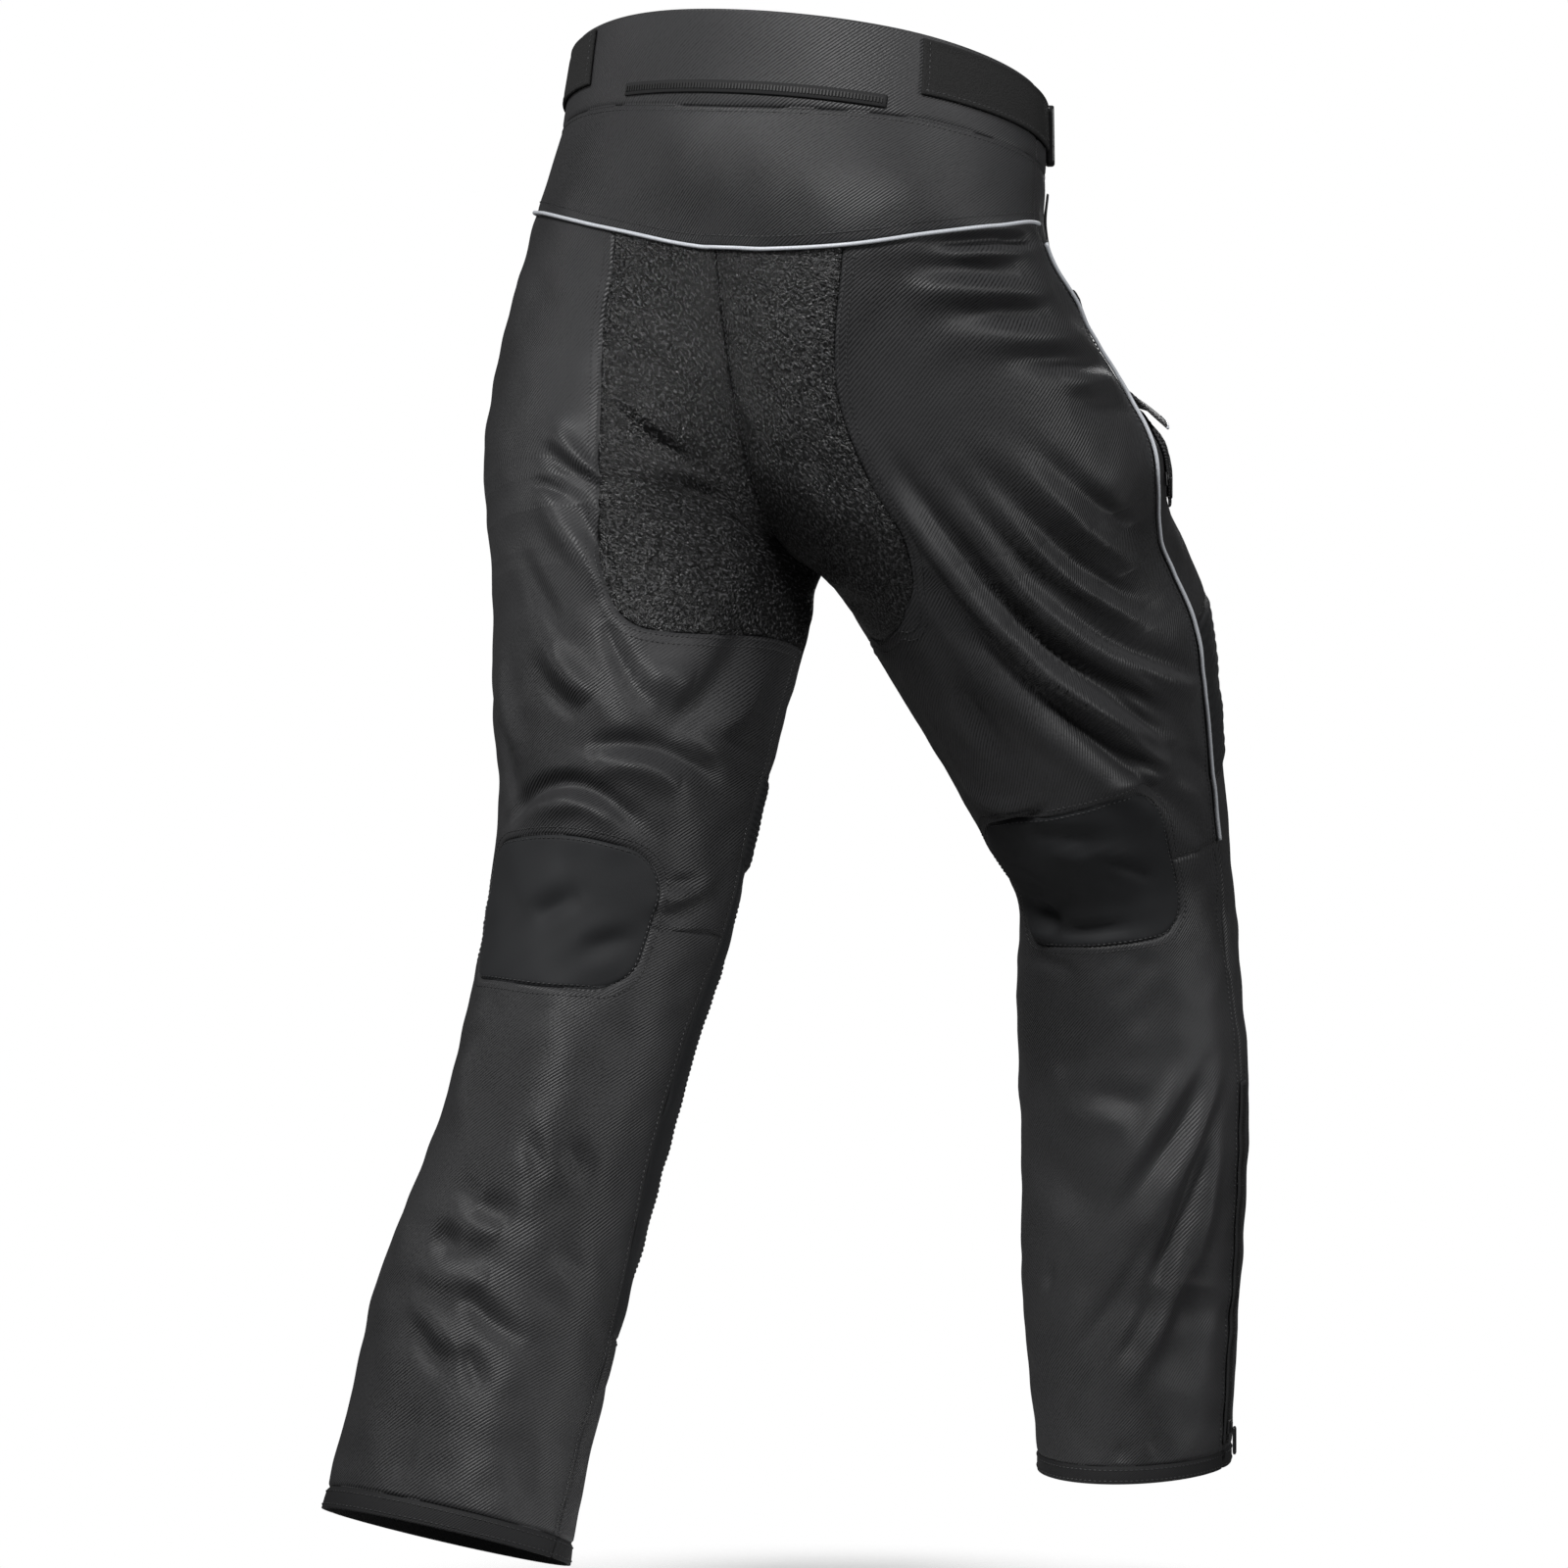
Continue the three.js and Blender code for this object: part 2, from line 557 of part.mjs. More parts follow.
// A solid swept along corners of the cloth: the section is given as across and outward distances
function sweptTrim(spots, section) {
  const rings = spots.map(({ point, out }, k) => {
    const ahead = spots[Math.min(k + 1, spots.length - 1)].point;
    const behind = spots[Math.max(k - 1, 0)].point;
    const across = out.clone().cross(ahead.clone().sub(behind)).normalize();
    const corner = ([side, off]) => point.clone().addScaledVector(across, side).addScaledVector(out, off);
    return section.map(corner);
  });
  const count = section.length;
  const index = [];
  for (let k = 0; k < rings.length - 1; k += 1) {
    for (let s = 0; s < count; s += 1) {
      const next = (s + 1) % count;
      const [a, b] = [k * count + s, k * count + next];
      index.push(a, b, b + count, a, b + count, a + count);
    }
  }
  const lastRing = (rings.length - 1) * count;
  for (let s = 1; s < count - 1; s += 1) {
    index.push(0, s + 1, s);
    index.push(lastRing, lastRing + s, lastRing + s + 1);
  }
  const geometry = new THREE.BufferGeometry();
  const positions = rings.flat().flatMap((p) => p.toArray());
  geometry.setAttribute("position", new THREE.Float32BufferAttribute(positions, 3));
  geometry.setIndex(index);
  return geometry;
}

const roundSection = (radius, sides) =>
  Array.from({ length: sides }, (_, k) => {
    const angle = (2 * Math.PI * k) / sides;
    return [radius * Math.sin(angle), LIFT + radius - radius * Math.cos(angle)];
  });
const flatSection = (width, thickness) => [
  [-width / 2, LIFT],
  [width / 2, LIFT],
  [width / 2, LIFT + thickness],
  [-width / 2, LIFT + thickness],
];

// Materials: colours as the eye sees them
const finish = (color, roughness) => new THREE.MeshStandardMaterial({ color, roughness, metalness: 0 });
const TWILL = finish("#343436", 0.75);
const STRETCH = finish("#2a2b2d", 0.85);
const LEATHER = finish("#1b1b1c", 0.45);
const HOOK_TAPE = finish("#151515", 0.95);
const PIPING = finish("#dfe2e6", 0.35);
const ZIP_TAPE = finish("#1a1a1b", 0.7);
const HARD_BLACK = finish("#202022", 0.35);

const trousers = new THREE.Group();
trousers.name = "motorcycle_trousers";
function sew(name, geometry, material) {
  const mesh = new THREE.Mesh(geometry, material);
  mesh.name = name;
  trousers.add(mesh);
  return mesh;
}

const WHOLE_BACK = [0, SIDE_COLUMN];
const WHOLE_FRONT = [SIDE_COLUMN, LAST_COLUMN];
const inPatch = (row, column) =>
  row >= ROW.patchTop && row < ROW.patchEnd && column >= PATCH_COLUMNS[0] && column < PATCH_COLUMNS[1];
const inSeat = (row, column) => row < ROW.seat && column < SEAT_COLUMN;
const inStrip = (row, column) => row < ROW.stripEnd && column >= STRIP_COLUMN;

// Pieces that cross the centre back
const acrossBack = (rows) => [...cells("left", rows, WHOLE_BACK), ...cells("right", rows, WHOLE_BACK)];
sew("waistband_back", sewnWall(acrossBack([ROW.waist, ROW.band])), TWILL);
sew("yoke_back", sewnWall(acrossBack([ROW.band, ROW.yoke])), TWILL);

// Panels of each leg
for (const leg of ["left", "right"]) {
  const seatRows = [ROW.yoke, ROW.seat];
  sew("waistband_front_" + leg, sewnWall(cells(leg, [ROW.waist, ROW.band], WHOLE_FRONT)), TWILL);
  sew("seat_" + leg, sewnWall(cells(leg, seatRows, [0, SEAT_COLUMN])), LEATHER);
  const thighBack = cells(leg, [ROW.yoke, ROW.knee], WHOLE_BACK, (r, c) => inSeat(r, c) || inPatch(r, c));
  sew("thigh_back_" + leg, sewnWall(thighBack), TWILL);
  sew("knee_patch_" + leg, sewnWall(cells(leg, [ROW.patchTop, ROW.patchEnd], PATCH_COLUMNS)), STRETCH);
  sew("calf_" + leg, sewnWall(cells(leg, [ROW.knee, ROW.hemBand], WHOLE_BACK, inPatch)), TWILL);
  sew("thigh_front_" + leg, sewnWall(cells(leg, [ROW.band, ROW.ribTop], WHOLE_FRONT)), TWILL);
  sew("ribbed_panel_" + leg, sewnWall(ribbedCells(leg, [ROW.ribTop, ROW.patchTop], WHOLE_FRONT)), STRETCH);
  sew("shin_" + leg, sewnWall(cells(leg, [ROW.patchTop, ROW.hemBand], WHOLE_FRONT, inStrip)), TWILL);
  const strip = cells(leg, [ROW.patchTop, ROW.stripEnd], [STRIP_COLUMN, LAST_COLUMN]);
  sew("inner_strip_" + leg, sewnWall(strip), STRETCH);
  const hemRows = [ROW.hemBand, ROW.hem];
  const hemCells = cells(leg, hemRows, [0, LAST_COLUMN]);
  sew("hem_band_" + leg, sewnWall(hemCells), TWILL);
}

// Piping: a thin round cord over the yoke seam, and one down each outer side seam to the knee
const PIPING_RADIUS = 1.4;
const yokeSpots = [];
for (let column = SIDE_COLUMN; column > 0; column -= 1) yokeSpots.push(lattice("right", ROW.yoke, column));
for (let column = 0; column <= SIDE_COLUMN; column += 1) yokeSpots.push(lattice("left", ROW.yoke, column));
sew("yoke_piping", sweptTrim(yokeSpots, roundSection(PIPING_RADIUS, 6)), PIPING);

const SIDE_PIPING_START = 0.25; // rows below the yoke seam
function alongRows(leg, column, from, to) {
  return steps(from, to).map((row) => gridSpot(leg, row, column));
}
for (const leg of ["left", "right"]) {
  const run = alongRows(leg, SIDE_COLUMN, ROW.yoke + SIDE_PIPING_START, ROW.knee);
  sew("side_piping_" + leg, sweptTrim(run, roundSection(PIPING_RADIUS, 6)), PIPING);
}

// Connection zip on the back of the waistband, from the right end over the middle to the left end
const CONNECTION_ZIP = { leftEnd: 0.158, rightEnd: 0.212, down: 50, width: 9, thickness: 1.5 };
const zipEnd = (leg, around) => gridPlace(leg, around, CONNECTION_ZIP.down);
const zipHalf = (leg, around) => {
  const { row, column } = zipEnd(leg, around);
  return steps(0, column).map((c) => gridSpot(leg, row, c));
};
const zipRight = zipHalf("right", CONNECTION_ZIP.rightEnd).reverse();
const zipSpots = [...zipRight, ...zipHalf("left", CONNECTION_ZIP.leftEnd).slice(1)];
const zipSection = flatSection(CONNECTION_ZIP.width, CONNECTION_ZIP.thickness);
sew("connection_zip", sweptTrim(zipSpots, zipSection), ZIP_TAPE);

const laidOn = (thickness) => ({ thickness, inset: 0, lift: LAID_LIFT + thickness });

// Waist adjuster straps, laid on the band round each side
const STRAP = { from: 0.252, to: 0.56, top: 3, bottom: 40, thickness: 2.2 };
for (const leg of ["left", "right"]) {
  const start = gridPlace(leg, STRAP.from, STRAP.top);
  const end = gridPlace(leg, STRAP.to, STRAP.bottom);
  const cloth = laidCells(leg, [start.row, end.row], [start.column, end.column]);
  sew("adjuster_strap_" + leg, sewnWall(cloth, laidOn(STRAP.thickness)), HOOK_TAPE);
}

// A frame on the surface at a row and a column: across, up and outward
function seatOn(leg, { row, column }, lift) {
  const { point, out } = gridSpot(leg, row, column);
  const across = new THREE.Vector3(0, 0, 1).cross(out).normalize();
  const up = out.clone().cross(across);
  return { origin: point.addScaledVector(out, lift), across, up, out };
}
const matrixOf = ({ origin, across, up, out }) =>
  new THREE.Matrix4().makeBasis(across, up, out).setPosition(origin);

// Loop at the front end of each adjuster strap: a moulded frame that stands off the band
const LOOP = { around: 0.597, down: 23, tall: 42, wide: 14, bar: 2.4, depth: 5.5 };
function frameShape(wide, tall, bar) {
  const [w, h] = [wide / 2, tall / 2];
  const [gapW, gapH] = [w - bar, h - bar];
  const outline = new THREE.Shape().moveTo(-w, -h).lineTo(w, -h).lineTo(w, h).lineTo(-w, h);
  const gap = new THREE.Path().moveTo(-gapW, -gapH).lineTo(-gapW, gapH).lineTo(gapW, gapH).lineTo(gapW, -gapH);
  outline.holes.push(gap);
  return outline;
}
for (const leg of ["left", "right"]) {
  const loop = new THREE.ExtrudeGeometry(frameShape(LOOP.wide, LOOP.tall, LOOP.bar), {
    depth: LOOP.depth,
    bevelEnabled: false,
  });
  const loopSeat = seatOn(leg, gridPlace(leg, LOOP.around, LOOP.down), LAID_LIFT);
  sew("strap_loop_" + leg, loop.applyMatrix4(matrixOf(loopSeat)), HARD_BLACK);
}

// Fly flap down the centre front, and the closing tab of the waistband with its snap
const FLY = { reach: 1.3, rows: [ROW.band + 0.15, ROW.band + 6.5], thickness: 1.6 };
const TAB = { reach: 2.4, rows: [0.4, 1.65], thickness: 1.8 };
const SNAP = { around: 0.945, down: 29, radius: 7.5, height: 2.4, sides: 20 };
const overFront = ({ rows, reach }) => [
  ...laidCells("left", rows, [LAST_COLUMN - reach, LAST_COLUMN]),
  ...laidCells("right", rows, [LAST_COLUMN - reach, LAST_COLUMN]),
];
sew("fly_flap", sewnWall(overFront(FLY), laidOn(FLY.thickness)), TWILL);
sew("waist_tab", sewnWall(overFront(TAB), laidOn(TAB.thickness)), TWILL);
const snapSeat = seatOn("left", gridPlace("left", SNAP.around, SNAP.down), 2 * LAID_LIFT + TAB.thickness);
const snap = new THREE.CylinderGeometry(SNAP.radius - 1, SNAP.radius, SNAP.height, SNAP.sides);
snap.rotateX(Math.PI / 2).translate(0, 0, SNAP.height / 2);
sew("waist_snap", snap.applyMatrix4(matrixOf(snapSeat)), HARD_BLACK);

// Hand pocket welt in front of each side seam, and a small tab of tape on the hip
const WELT = { columns: [14, 14.35], rows: [ROW.band + 0.9, ROW.yoke + 3], thickness: 1.6 };
const HIP_TAB = { columns: [12.85, 13.2], rows: [ROW.yoke + 1.1, ROW.yoke + 1.9], thickness: 1.8 };
// Thigh pocket: a bellows that stands off the thigh, under a flap edged with piping
const POCKET = { arounds: [0.59, 0.77], downs: [264, 352], bulge: 7, thickness: 2 };
const FLAP = { arounds: [0.577, 0.785], downs: [244, 283], bulge: 10.5, thickness: 2 };
const hump = (t) => Math.sin(Math.PI * t) ** 0.6;
function spanOf(leg, { arounds, downs }) {
  const start = gridPlace(leg, arounds[0], downs[0]);
  const end = gridPlace(leg, arounds[1], downs[1]);
  return { rows: [start.row, end.row], columns: [start.column, end.column] };
}
for (const leg of ["left", "right"]) {
  const welt = laidCells(leg, WELT.rows, WELT.columns);
  sew("pocket_welt_" + leg, sewnWall(welt, laidOn(WELT.thickness)), TWILL);
  const hipTab = laidCells(leg, HIP_TAB.rows, HIP_TAB.columns);
  sew("hip_tab_" + leg, sewnWall(hipTab, laidOn(HIP_TAB.thickness)), HOOK_TAPE);
  const pocket = spanOf(leg, POCKET);
  const bag = laidCells(leg, pocket.rows, pocket.columns, (r, c) => POCKET.bulge * hump(r) * hump(c));
  sew("thigh_pocket_" + leg, sewnWall(bag, laidOn(POCKET.thickness)), TWILL);
  const flap = spanOf(leg, FLAP);
  const stand = (r) => FLAP.bulge * r;
  const cover = laidCells(leg, flap.rows, flap.columns, stand);
  sew("pocket_flap_" + leg, sewnWall(cover, laidOn(FLAP.thickness)), TWILL);
}

// Zip up the outer side of each lower leg, closed, with its slider just above the hem band
const LEG_ZIP = { top: 712, end: 980, slider: 966, width: 10, thickness: 1.5 };
const SLIDER = { wide: 7, tall: 10, deep: 3 };
const PULL = { wide: 5, thick: 1.6, hingeGap: 1.5, above: 0.8 };
const POCKET_ZIP = { behind: 0.34, down: 312 }; // columns behind the pocket's rear edge
// Zips with a pull that swings: where each slider sits, what it stands on and how long its pull is
function zipsOf(leg) {
  const seam = gridPlace(leg, 0.5, LEG_ZIP.slider).row;
  const edge = spanOf(leg, POCKET).columns[0] - POCKET_ZIP.behind;
  const row = gridPlace(leg, 0.56, POCKET_ZIP.down).row;
  return [
    { name: "leg_zip", row: seam, column: SIDE_COLUMN, stands: LIFT + LEG_ZIP.thickness, length: 20 },
    { name: "pocket_zip", row, column: edge, stands: 0, length: 14 },
  ];
}
for (const leg of ["left", "right"]) {
  const from = gridPlace(leg, 0.5, LEG_ZIP.top).row;
  const to = gridPlace(leg, 0.5, LEG_ZIP.end).row;
  const tapeSection = flatSection(LEG_ZIP.width, LEG_ZIP.thickness);
  const tape = sweptTrim(alongRows(leg, SIDE_COLUMN, from, to), tapeSection);
  sew("leg_zip_" + leg, tape, ZIP_TAPE);
  for (const zip of zipsOf(leg)) {
    const seat = seatOn(leg, zip, zip.stands + LAID_LIFT);
    const slider = new THREE.BoxGeometry(SLIDER.wide, SLIDER.tall, SLIDER.deep);
    slider.translate(0, 0, SLIDER.deep / 2).applyMatrix4(matrixOf(seat));
    sew(zip.name + "_slider_" + leg, slider, HARD_BLACK);
    const face = seat.origin.clone().addScaledVector(seat.out, SLIDER.deep);
    const level = new THREE.Vector3(seat.out.x, seat.out.y, 0).normalize();
    const hinge = face.addScaledVector(level, PULL.hingeGap);
    const axis = level.clone().cross(new THREE.Vector3(0, 0, 1));
    const tall = zip.length + PULL.above;
    const plate = new THREE.BoxGeometry(PULL.wide, PULL.thick, tall).translate(0, 0, PULL.above - tall / 2);
    const upright = new THREE.Vector3(0, 0, 1);
    plate.applyMatrix4(new THREE.Matrix4().makeBasis(axis, level, upright).setPosition(hinge));
    const pull = sew(zip.name + "_pull_" + leg, plate, HARD_BLACK);
    pull.userData = { hinge: hinge.toArray(), axis: axis.toArray() };
  }
}

export default trousers;
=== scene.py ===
# %% [markdown]
# # Motorcycle trousers, worn and filled out in a stride
#
# This lesson dresses a set of plain cloth walls. The walls come packed, in metres, with the waist at the
# origin, the wearer's left at +X and the back at +Y. Every cloth piece is modelled again here from the
# same cut, fine enough to carry folds, ribs, sunk seams and rolled edges, and the plain wall is hidden.
# Thread, zip teeth and cords are added on top.
#
# Sizes are written in millimetres, as a cutter would, and turned into metres when a mesh is made.

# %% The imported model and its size
import json
import math

import bpy
import numpy as np
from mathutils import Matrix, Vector


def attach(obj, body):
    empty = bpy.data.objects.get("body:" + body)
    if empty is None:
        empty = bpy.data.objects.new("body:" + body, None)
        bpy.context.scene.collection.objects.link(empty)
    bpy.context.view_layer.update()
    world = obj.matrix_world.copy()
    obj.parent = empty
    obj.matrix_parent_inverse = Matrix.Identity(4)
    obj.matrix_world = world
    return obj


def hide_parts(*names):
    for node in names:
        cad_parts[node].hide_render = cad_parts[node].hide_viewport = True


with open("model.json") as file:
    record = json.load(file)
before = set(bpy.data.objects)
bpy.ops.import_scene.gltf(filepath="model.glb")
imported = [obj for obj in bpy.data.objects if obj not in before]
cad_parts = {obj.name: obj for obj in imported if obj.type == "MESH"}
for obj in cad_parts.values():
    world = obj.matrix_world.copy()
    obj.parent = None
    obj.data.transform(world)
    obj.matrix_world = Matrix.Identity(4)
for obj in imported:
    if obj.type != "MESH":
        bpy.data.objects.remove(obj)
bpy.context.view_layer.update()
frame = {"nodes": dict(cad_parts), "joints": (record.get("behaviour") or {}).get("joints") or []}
MM = 0.001

# %% [markdown]
# ## Tables with named columns
#
# A garment is described best by short tables: one row for each section, seam point or fold. These helpers
# read a table by its column names, and give smooth values between its rows.

# %% Reading tables
def table(columns, rows):
    return {name: np.array([row[k] for row in rows], float) for k, name in enumerate(columns)}


def smooth(value):
    t = np.clip(value, 0.0, 1.0)
    return t * t * (3 - 2 * t)


def share(value, start, end):
    return (value - start) / (end - start)


def along(rows, key, name, place):
    """A curve through the rows, with a slope at each row taken from its neighbours."""
    x, y = rows[key], rows[name]
    slope = np.empty_like(y)
    slope[1:-1] = (y[2:] - y[:-2]) / (x[2:] - x[:-2])
    slope[0] = (y[1] - y[0]) / (x[1] - x[0])
    slope[-1] = (y[-1] - y[-2]) / (x[-1] - x[-2])
    place = np.clip(place, x[0], x[-1])
    k = np.clip(np.searchsorted(x, place, side="right") - 1, 0, len(x) - 2)
    step = x[k + 1] - x[k]
    t = (place - x[k]) / step
    level = (2 * t**3 - 3 * t**2 + 1) * y[k] + (3 * t**2 - 2 * t**3) * y[k + 1]
    return level + (t**3 - 2 * t**2 + t) * step * slope[k] + (t**3 - t**2) * step * slope[k + 1]


def eased(rows, key, name, place):
    """A line that eases from row to row and is level at each."""
    x, y = rows[key], rows[name]
    k = np.clip(np.searchsorted(x, place, side="right") - 1, 0, len(x) - 2)
    return y[k] + (y[k + 1] - y[k]) * smooth((place - x[k]) / (x[k + 1] - x[k]))


# %% [markdown]
# ## The form of the legs
#
# Each leg is a stack of ellipses. Above the crotch the middle plane cuts them, and the two halves meet in
# the centre seams. A place on the cloth is named by `around`, from 0 at the inseam's back edge over 0.5 at
# the outer side to 1 at its front edge, and by `down`, the distance from the waist.

# %% Sections of both legs
FORK, HEM = 344, 1000
SECTION = ["down", "out", "back", "up", "wide", "deep", "lean_out", "lean_back", "turn"]
SECTIONS = {
    "left": table(SECTION, [
        [0, 0, 0, 0, 172, 120, 0.084, 0.283, 0],
        [60, 2, 8, -56, 178, 124, 0.075, 0.2, 0],
        [110, 5, 18, -103, 187, 128, 0.05, 0.12, 0],
        [170, 22, 22, -160, 186, 134, 0.03, 0.14, 0],
        [230, 48, 28, -222, 172, 134, 0.02, 0.18, 0],
        [290, 82, 42, -284, 138, 130, 0, 0.22, 10],
        [344, 102, 57, -338, 102, 124, 0, 0.25, 32],
        [400, 98, 70, -392, 98, 116, 0, 0.25, 28],
        [470, 92, 92, -466, 95, 105, 0, 0.25, 18],
        [520, 90, 105, -516, 86, 98, 0.02, 0.26, 13],
        [585, 95, 121, -583, 83, 88, 0.06, 0.29, 10],
        [665, 104, 148, -663, 77, 80, 0.1, 0.33, 2],
        [750, 115, 178, -749, 75, 78, 0.15, 0.34, 0],
        [850, 135, 213, -850, 83, 73, 0.16, 0.33, 6],
        [930, 144, 239, -930, 83, 70, 0.126, 0.33, 0],
        [1000, 150, 261, -999, 87, 68, 0.126, 0.3, -10],
    ]),
    "right": table(SECTION, [
        [0, 0, 0, 0, 172, 120, -0.084, 0.283, 0],
        [60, -2, 8, -56, 178, 124, -0.075, 0.2, 0],
        [110, -3, 18, -103, 182, 128, -0.05, 0.12, 0],
        [170, 12, -4, -160, 182, 134, -0.03, 0.02, 0],
        [230, 42, -38, -222, 168, 134, 0.02, -0.18, 0],
        [290, 82, -78, -282, 144, 132, 0.06, -0.36, -10],
        [344, 110, -114, -336, 110, 128, 0.1, -0.47, -32],
        [400, 128, -148, -392, 106, 122, 0.118, -0.5, -26],
        [455, 140, -178, -450, 93, 115, 0.118, -0.5, -15],
        [510, 146, -206, -507, 83, 108, 0.1, -0.42, -10],
        [565, 152, -230, -564, 76, 95, 0.06, -0.25, -5],
        [650, 152, -240, -650, 82, 88, 0.01, -0.07, 0],
        [714, 154, -244, -714, 84, 86, 0, -0.05, 0],
        [790, 153, -247, -790, 82, 86, 0, -0.05, 0],
        [864, 150, -250, -864, 80, 86, 0, -0.05, 0],
        [950, 151, -252, -950, 72, 87, 0, -0.05, 0],
        [1000, 151, -254, -996, 69, 88, 0, -0.05, 0],
    ]),
}
LEGS = ("left", "right")
SIGN = {"left": 1, "right": -1}
print("sections:", {leg: len(SECTIONS[leg]["down"]) for leg in LEGS})

# %% From a place on the cloth to a point
EVEN_BELOW, PULL_WIDTH, PULL_BELOW, SEAM_SHIFT = 420, 0.27, 150, 9
CLEAR, CLEAR_WIDTH = 8, 0.06


def section_at(leg, down):
    return {name: along(SECTIONS[leg], "down", name, down) for name in SECTION[1:]}


def cut_angle(section, down):
    ratio = np.clip(-section["out"] / section["wide"], -1, 1)
    return np.where(down >= FORK, math.pi, np.arccos(ratio))


def plain_ring(leg, around, down):
    section = section_at(leg, down)
    turn, back_half = np.radians(section["turn"]), around < 0.5
    reach = cut_angle(section, down) + np.where(back_half, turn, -turn)
    even = (math.pi / 2) * (1 + smooth(down / EVEN_BELOW))
    t = np.abs(1 - 2 * around)
    angle = np.where(back_half, 1, -1) * (even * t + (reach - even) * t**3)
    out = section["out"] + section["wide"] * np.cos(angle)
    back = section["back"] + section["deep"] * np.sin(angle)
    lean = section["lean_out"] * (out - section["out"]) + section["lean_back"] * (back - section["back"])
    return np.stack([out * SIGN[leg], back, section["up"] + lean], axis=-1)


def seam_shift(down):
    return SEAM_SHIFT * (1 - smooth(down / FORK))


def middle_seam(at_back, down):
    """The centre seam, halfway between the ends of the two half rings."""
    place = np.minimum(down, FORK)
    total = 0
    for leg in LEGS:
        section = section_at(leg, place)
        side = 1 if at_back else -1
        back = section["back"] + section["deep"] * np.sin(cut_angle(section, place)) * side
        up = section["up"] - section["lean_out"] * section["out"]
        up = up + section["lean_back"] * (back - section["back"])
        total = total + np.stack([np.zeros_like(back), back, up], axis=-1) / 2
    total[..., 0] = seam_shift(place) if at_back else 0
    return total


def cut_form(leg, around, down):
    point = plain_ring(leg, around, down)
    fade = 1 - smooth((down - FORK) / PULL_BELOW)
    place = np.minimum(down, FORK)
    near_back = 1 - smooth(around / PULL_WIDTH)
    near_front = 1 - smooth((1 - around) / PULL_WIDTH)
    for at_back, weight in ((True, near_back), (False, near_front)):
        end = np.full_like(down, 0.0 if at_back else 1.0)
        pull = middle_seam(at_back, down) - plain_ring(leg, end, place)
        point = point + (weight * fade)[..., None] * pull
    edge = SIGN[leg] * seam_shift(place) * near_back
    over = point[..., 0] * SIGN[leg] - edge
    soft = CLEAR * smooth(np.minimum(around, 1 - around) / CLEAR_WIDTH)
    point[..., 0] = SIGN[leg] * (edge + (over + np.sqrt(over**2 + soft**2)) / 2)
    return point


EVEN = {"wide": 55, "reach": 60, "taps": np.linspace(-1, 1, 5), "from": (0.025, 0.1), "to": (0.41, 0.49)}


def form_point(leg, around, down):
    """The form, evened out at the back where one ring opens into two legs."""
    around, down = np.broadcast_arrays(np.asarray(around, float), np.asarray(down, float))
    point = cut_form(leg, around, down)
    inside = smooth(share(around, *EVEN["from"])) * (1 - smooth(share(around, *EVEN["to"])))
    reach = EVEN["reach"] * inside * np.exp(-(((down - FORK) / EVEN["wide"]) ** 2))
    near = reach > 0.5
    if near.any():
        weights = 1.05 - EVEN["taps"] ** 2
        taps = [cut_form(leg, around[near], down[near] + tap * reach[near]) for tap in EVEN["taps"]]
        point[near] = np.einsum("t,tij->ij", weights / weights.sum(), np.stack(taps))
    return point


print("hem corner:", form_point("left", 0.5, 1000.0).round(1), form_point("right", 0.5, 1000.0).round(1))

# %% Which way is outwards
NORMAL_REACH = (0.03, 12)


def form_normal(leg, around, down):
    across, drop = NORMAL_REACH
    side = form_point(leg, np.minimum(around + across, 1), down)
    side = side - form_point(leg, np.maximum(around - across, 0), down)
    fall = form_point(leg, around, np.minimum(down + drop, HEM))
    fall = fall - form_point(leg, around, np.maximum(down - drop, 0))
    normal = np.cross(side, fall) * SIGN[leg]
    return normal / np.linalg.norm(normal, axis=-1, keepdims=True)


def outward(leg, around, down):
    """The outward direction, shared by the pieces that meet at a centre seam or an inseam."""
    around, down = np.broadcast_arrays(np.asarray(around, float), np.asarray(down, float))
    other = "right" if leg == "left" else "left"
    total = form_normal(leg, around, down)
    on_end = (around < 1e-9) | (around > 1 - 1e-9)
    if on_end.any():
        upper = (on_end & (down <= FORK))[..., None]
        lower = (on_end & (down >= FORK))[..., None]
        total = total + np.where(upper, form_normal(other, around, down), 0)
        total = total + np.where(lower, form_normal(leg, 1 - around, down), 0)
        total[..., 0] = np.where(upper[..., 0], 0, total[..., 0])
    return total / np.linalg.norm(total, axis=-1, keepdims=True)


def cut_girth(leg, down):
    section = section_at(leg, down)
    return cut_angle(section, down) * (section["wide"] + section["deep"])


def girth(leg, down):
    """Length of a ring of cloth, all round, evened out across the fork."""
    down = np.asarray(down, float)
    ring = np.array(cut_girth(leg, down))
    reach = EVEN["reach"] * np.exp(-(((down - FORK) / EVEN["wide"]) ** 2))
    near = reach > 0.5
    if near.any():
        total = sum(cut_girth(leg, down[near] + tap * reach[near]) for tap in EVEN["taps"])
        ring[near] = total / len(EVEN["taps"])
    return ring


# %% [markdown]
# ## The cut
#
# The seams are lines on that form. Some run across a leg, such as the piped yoke seam, and some run down
# it, such as the side seam, which swings forward over the hip. Both kinds are read from the garment.

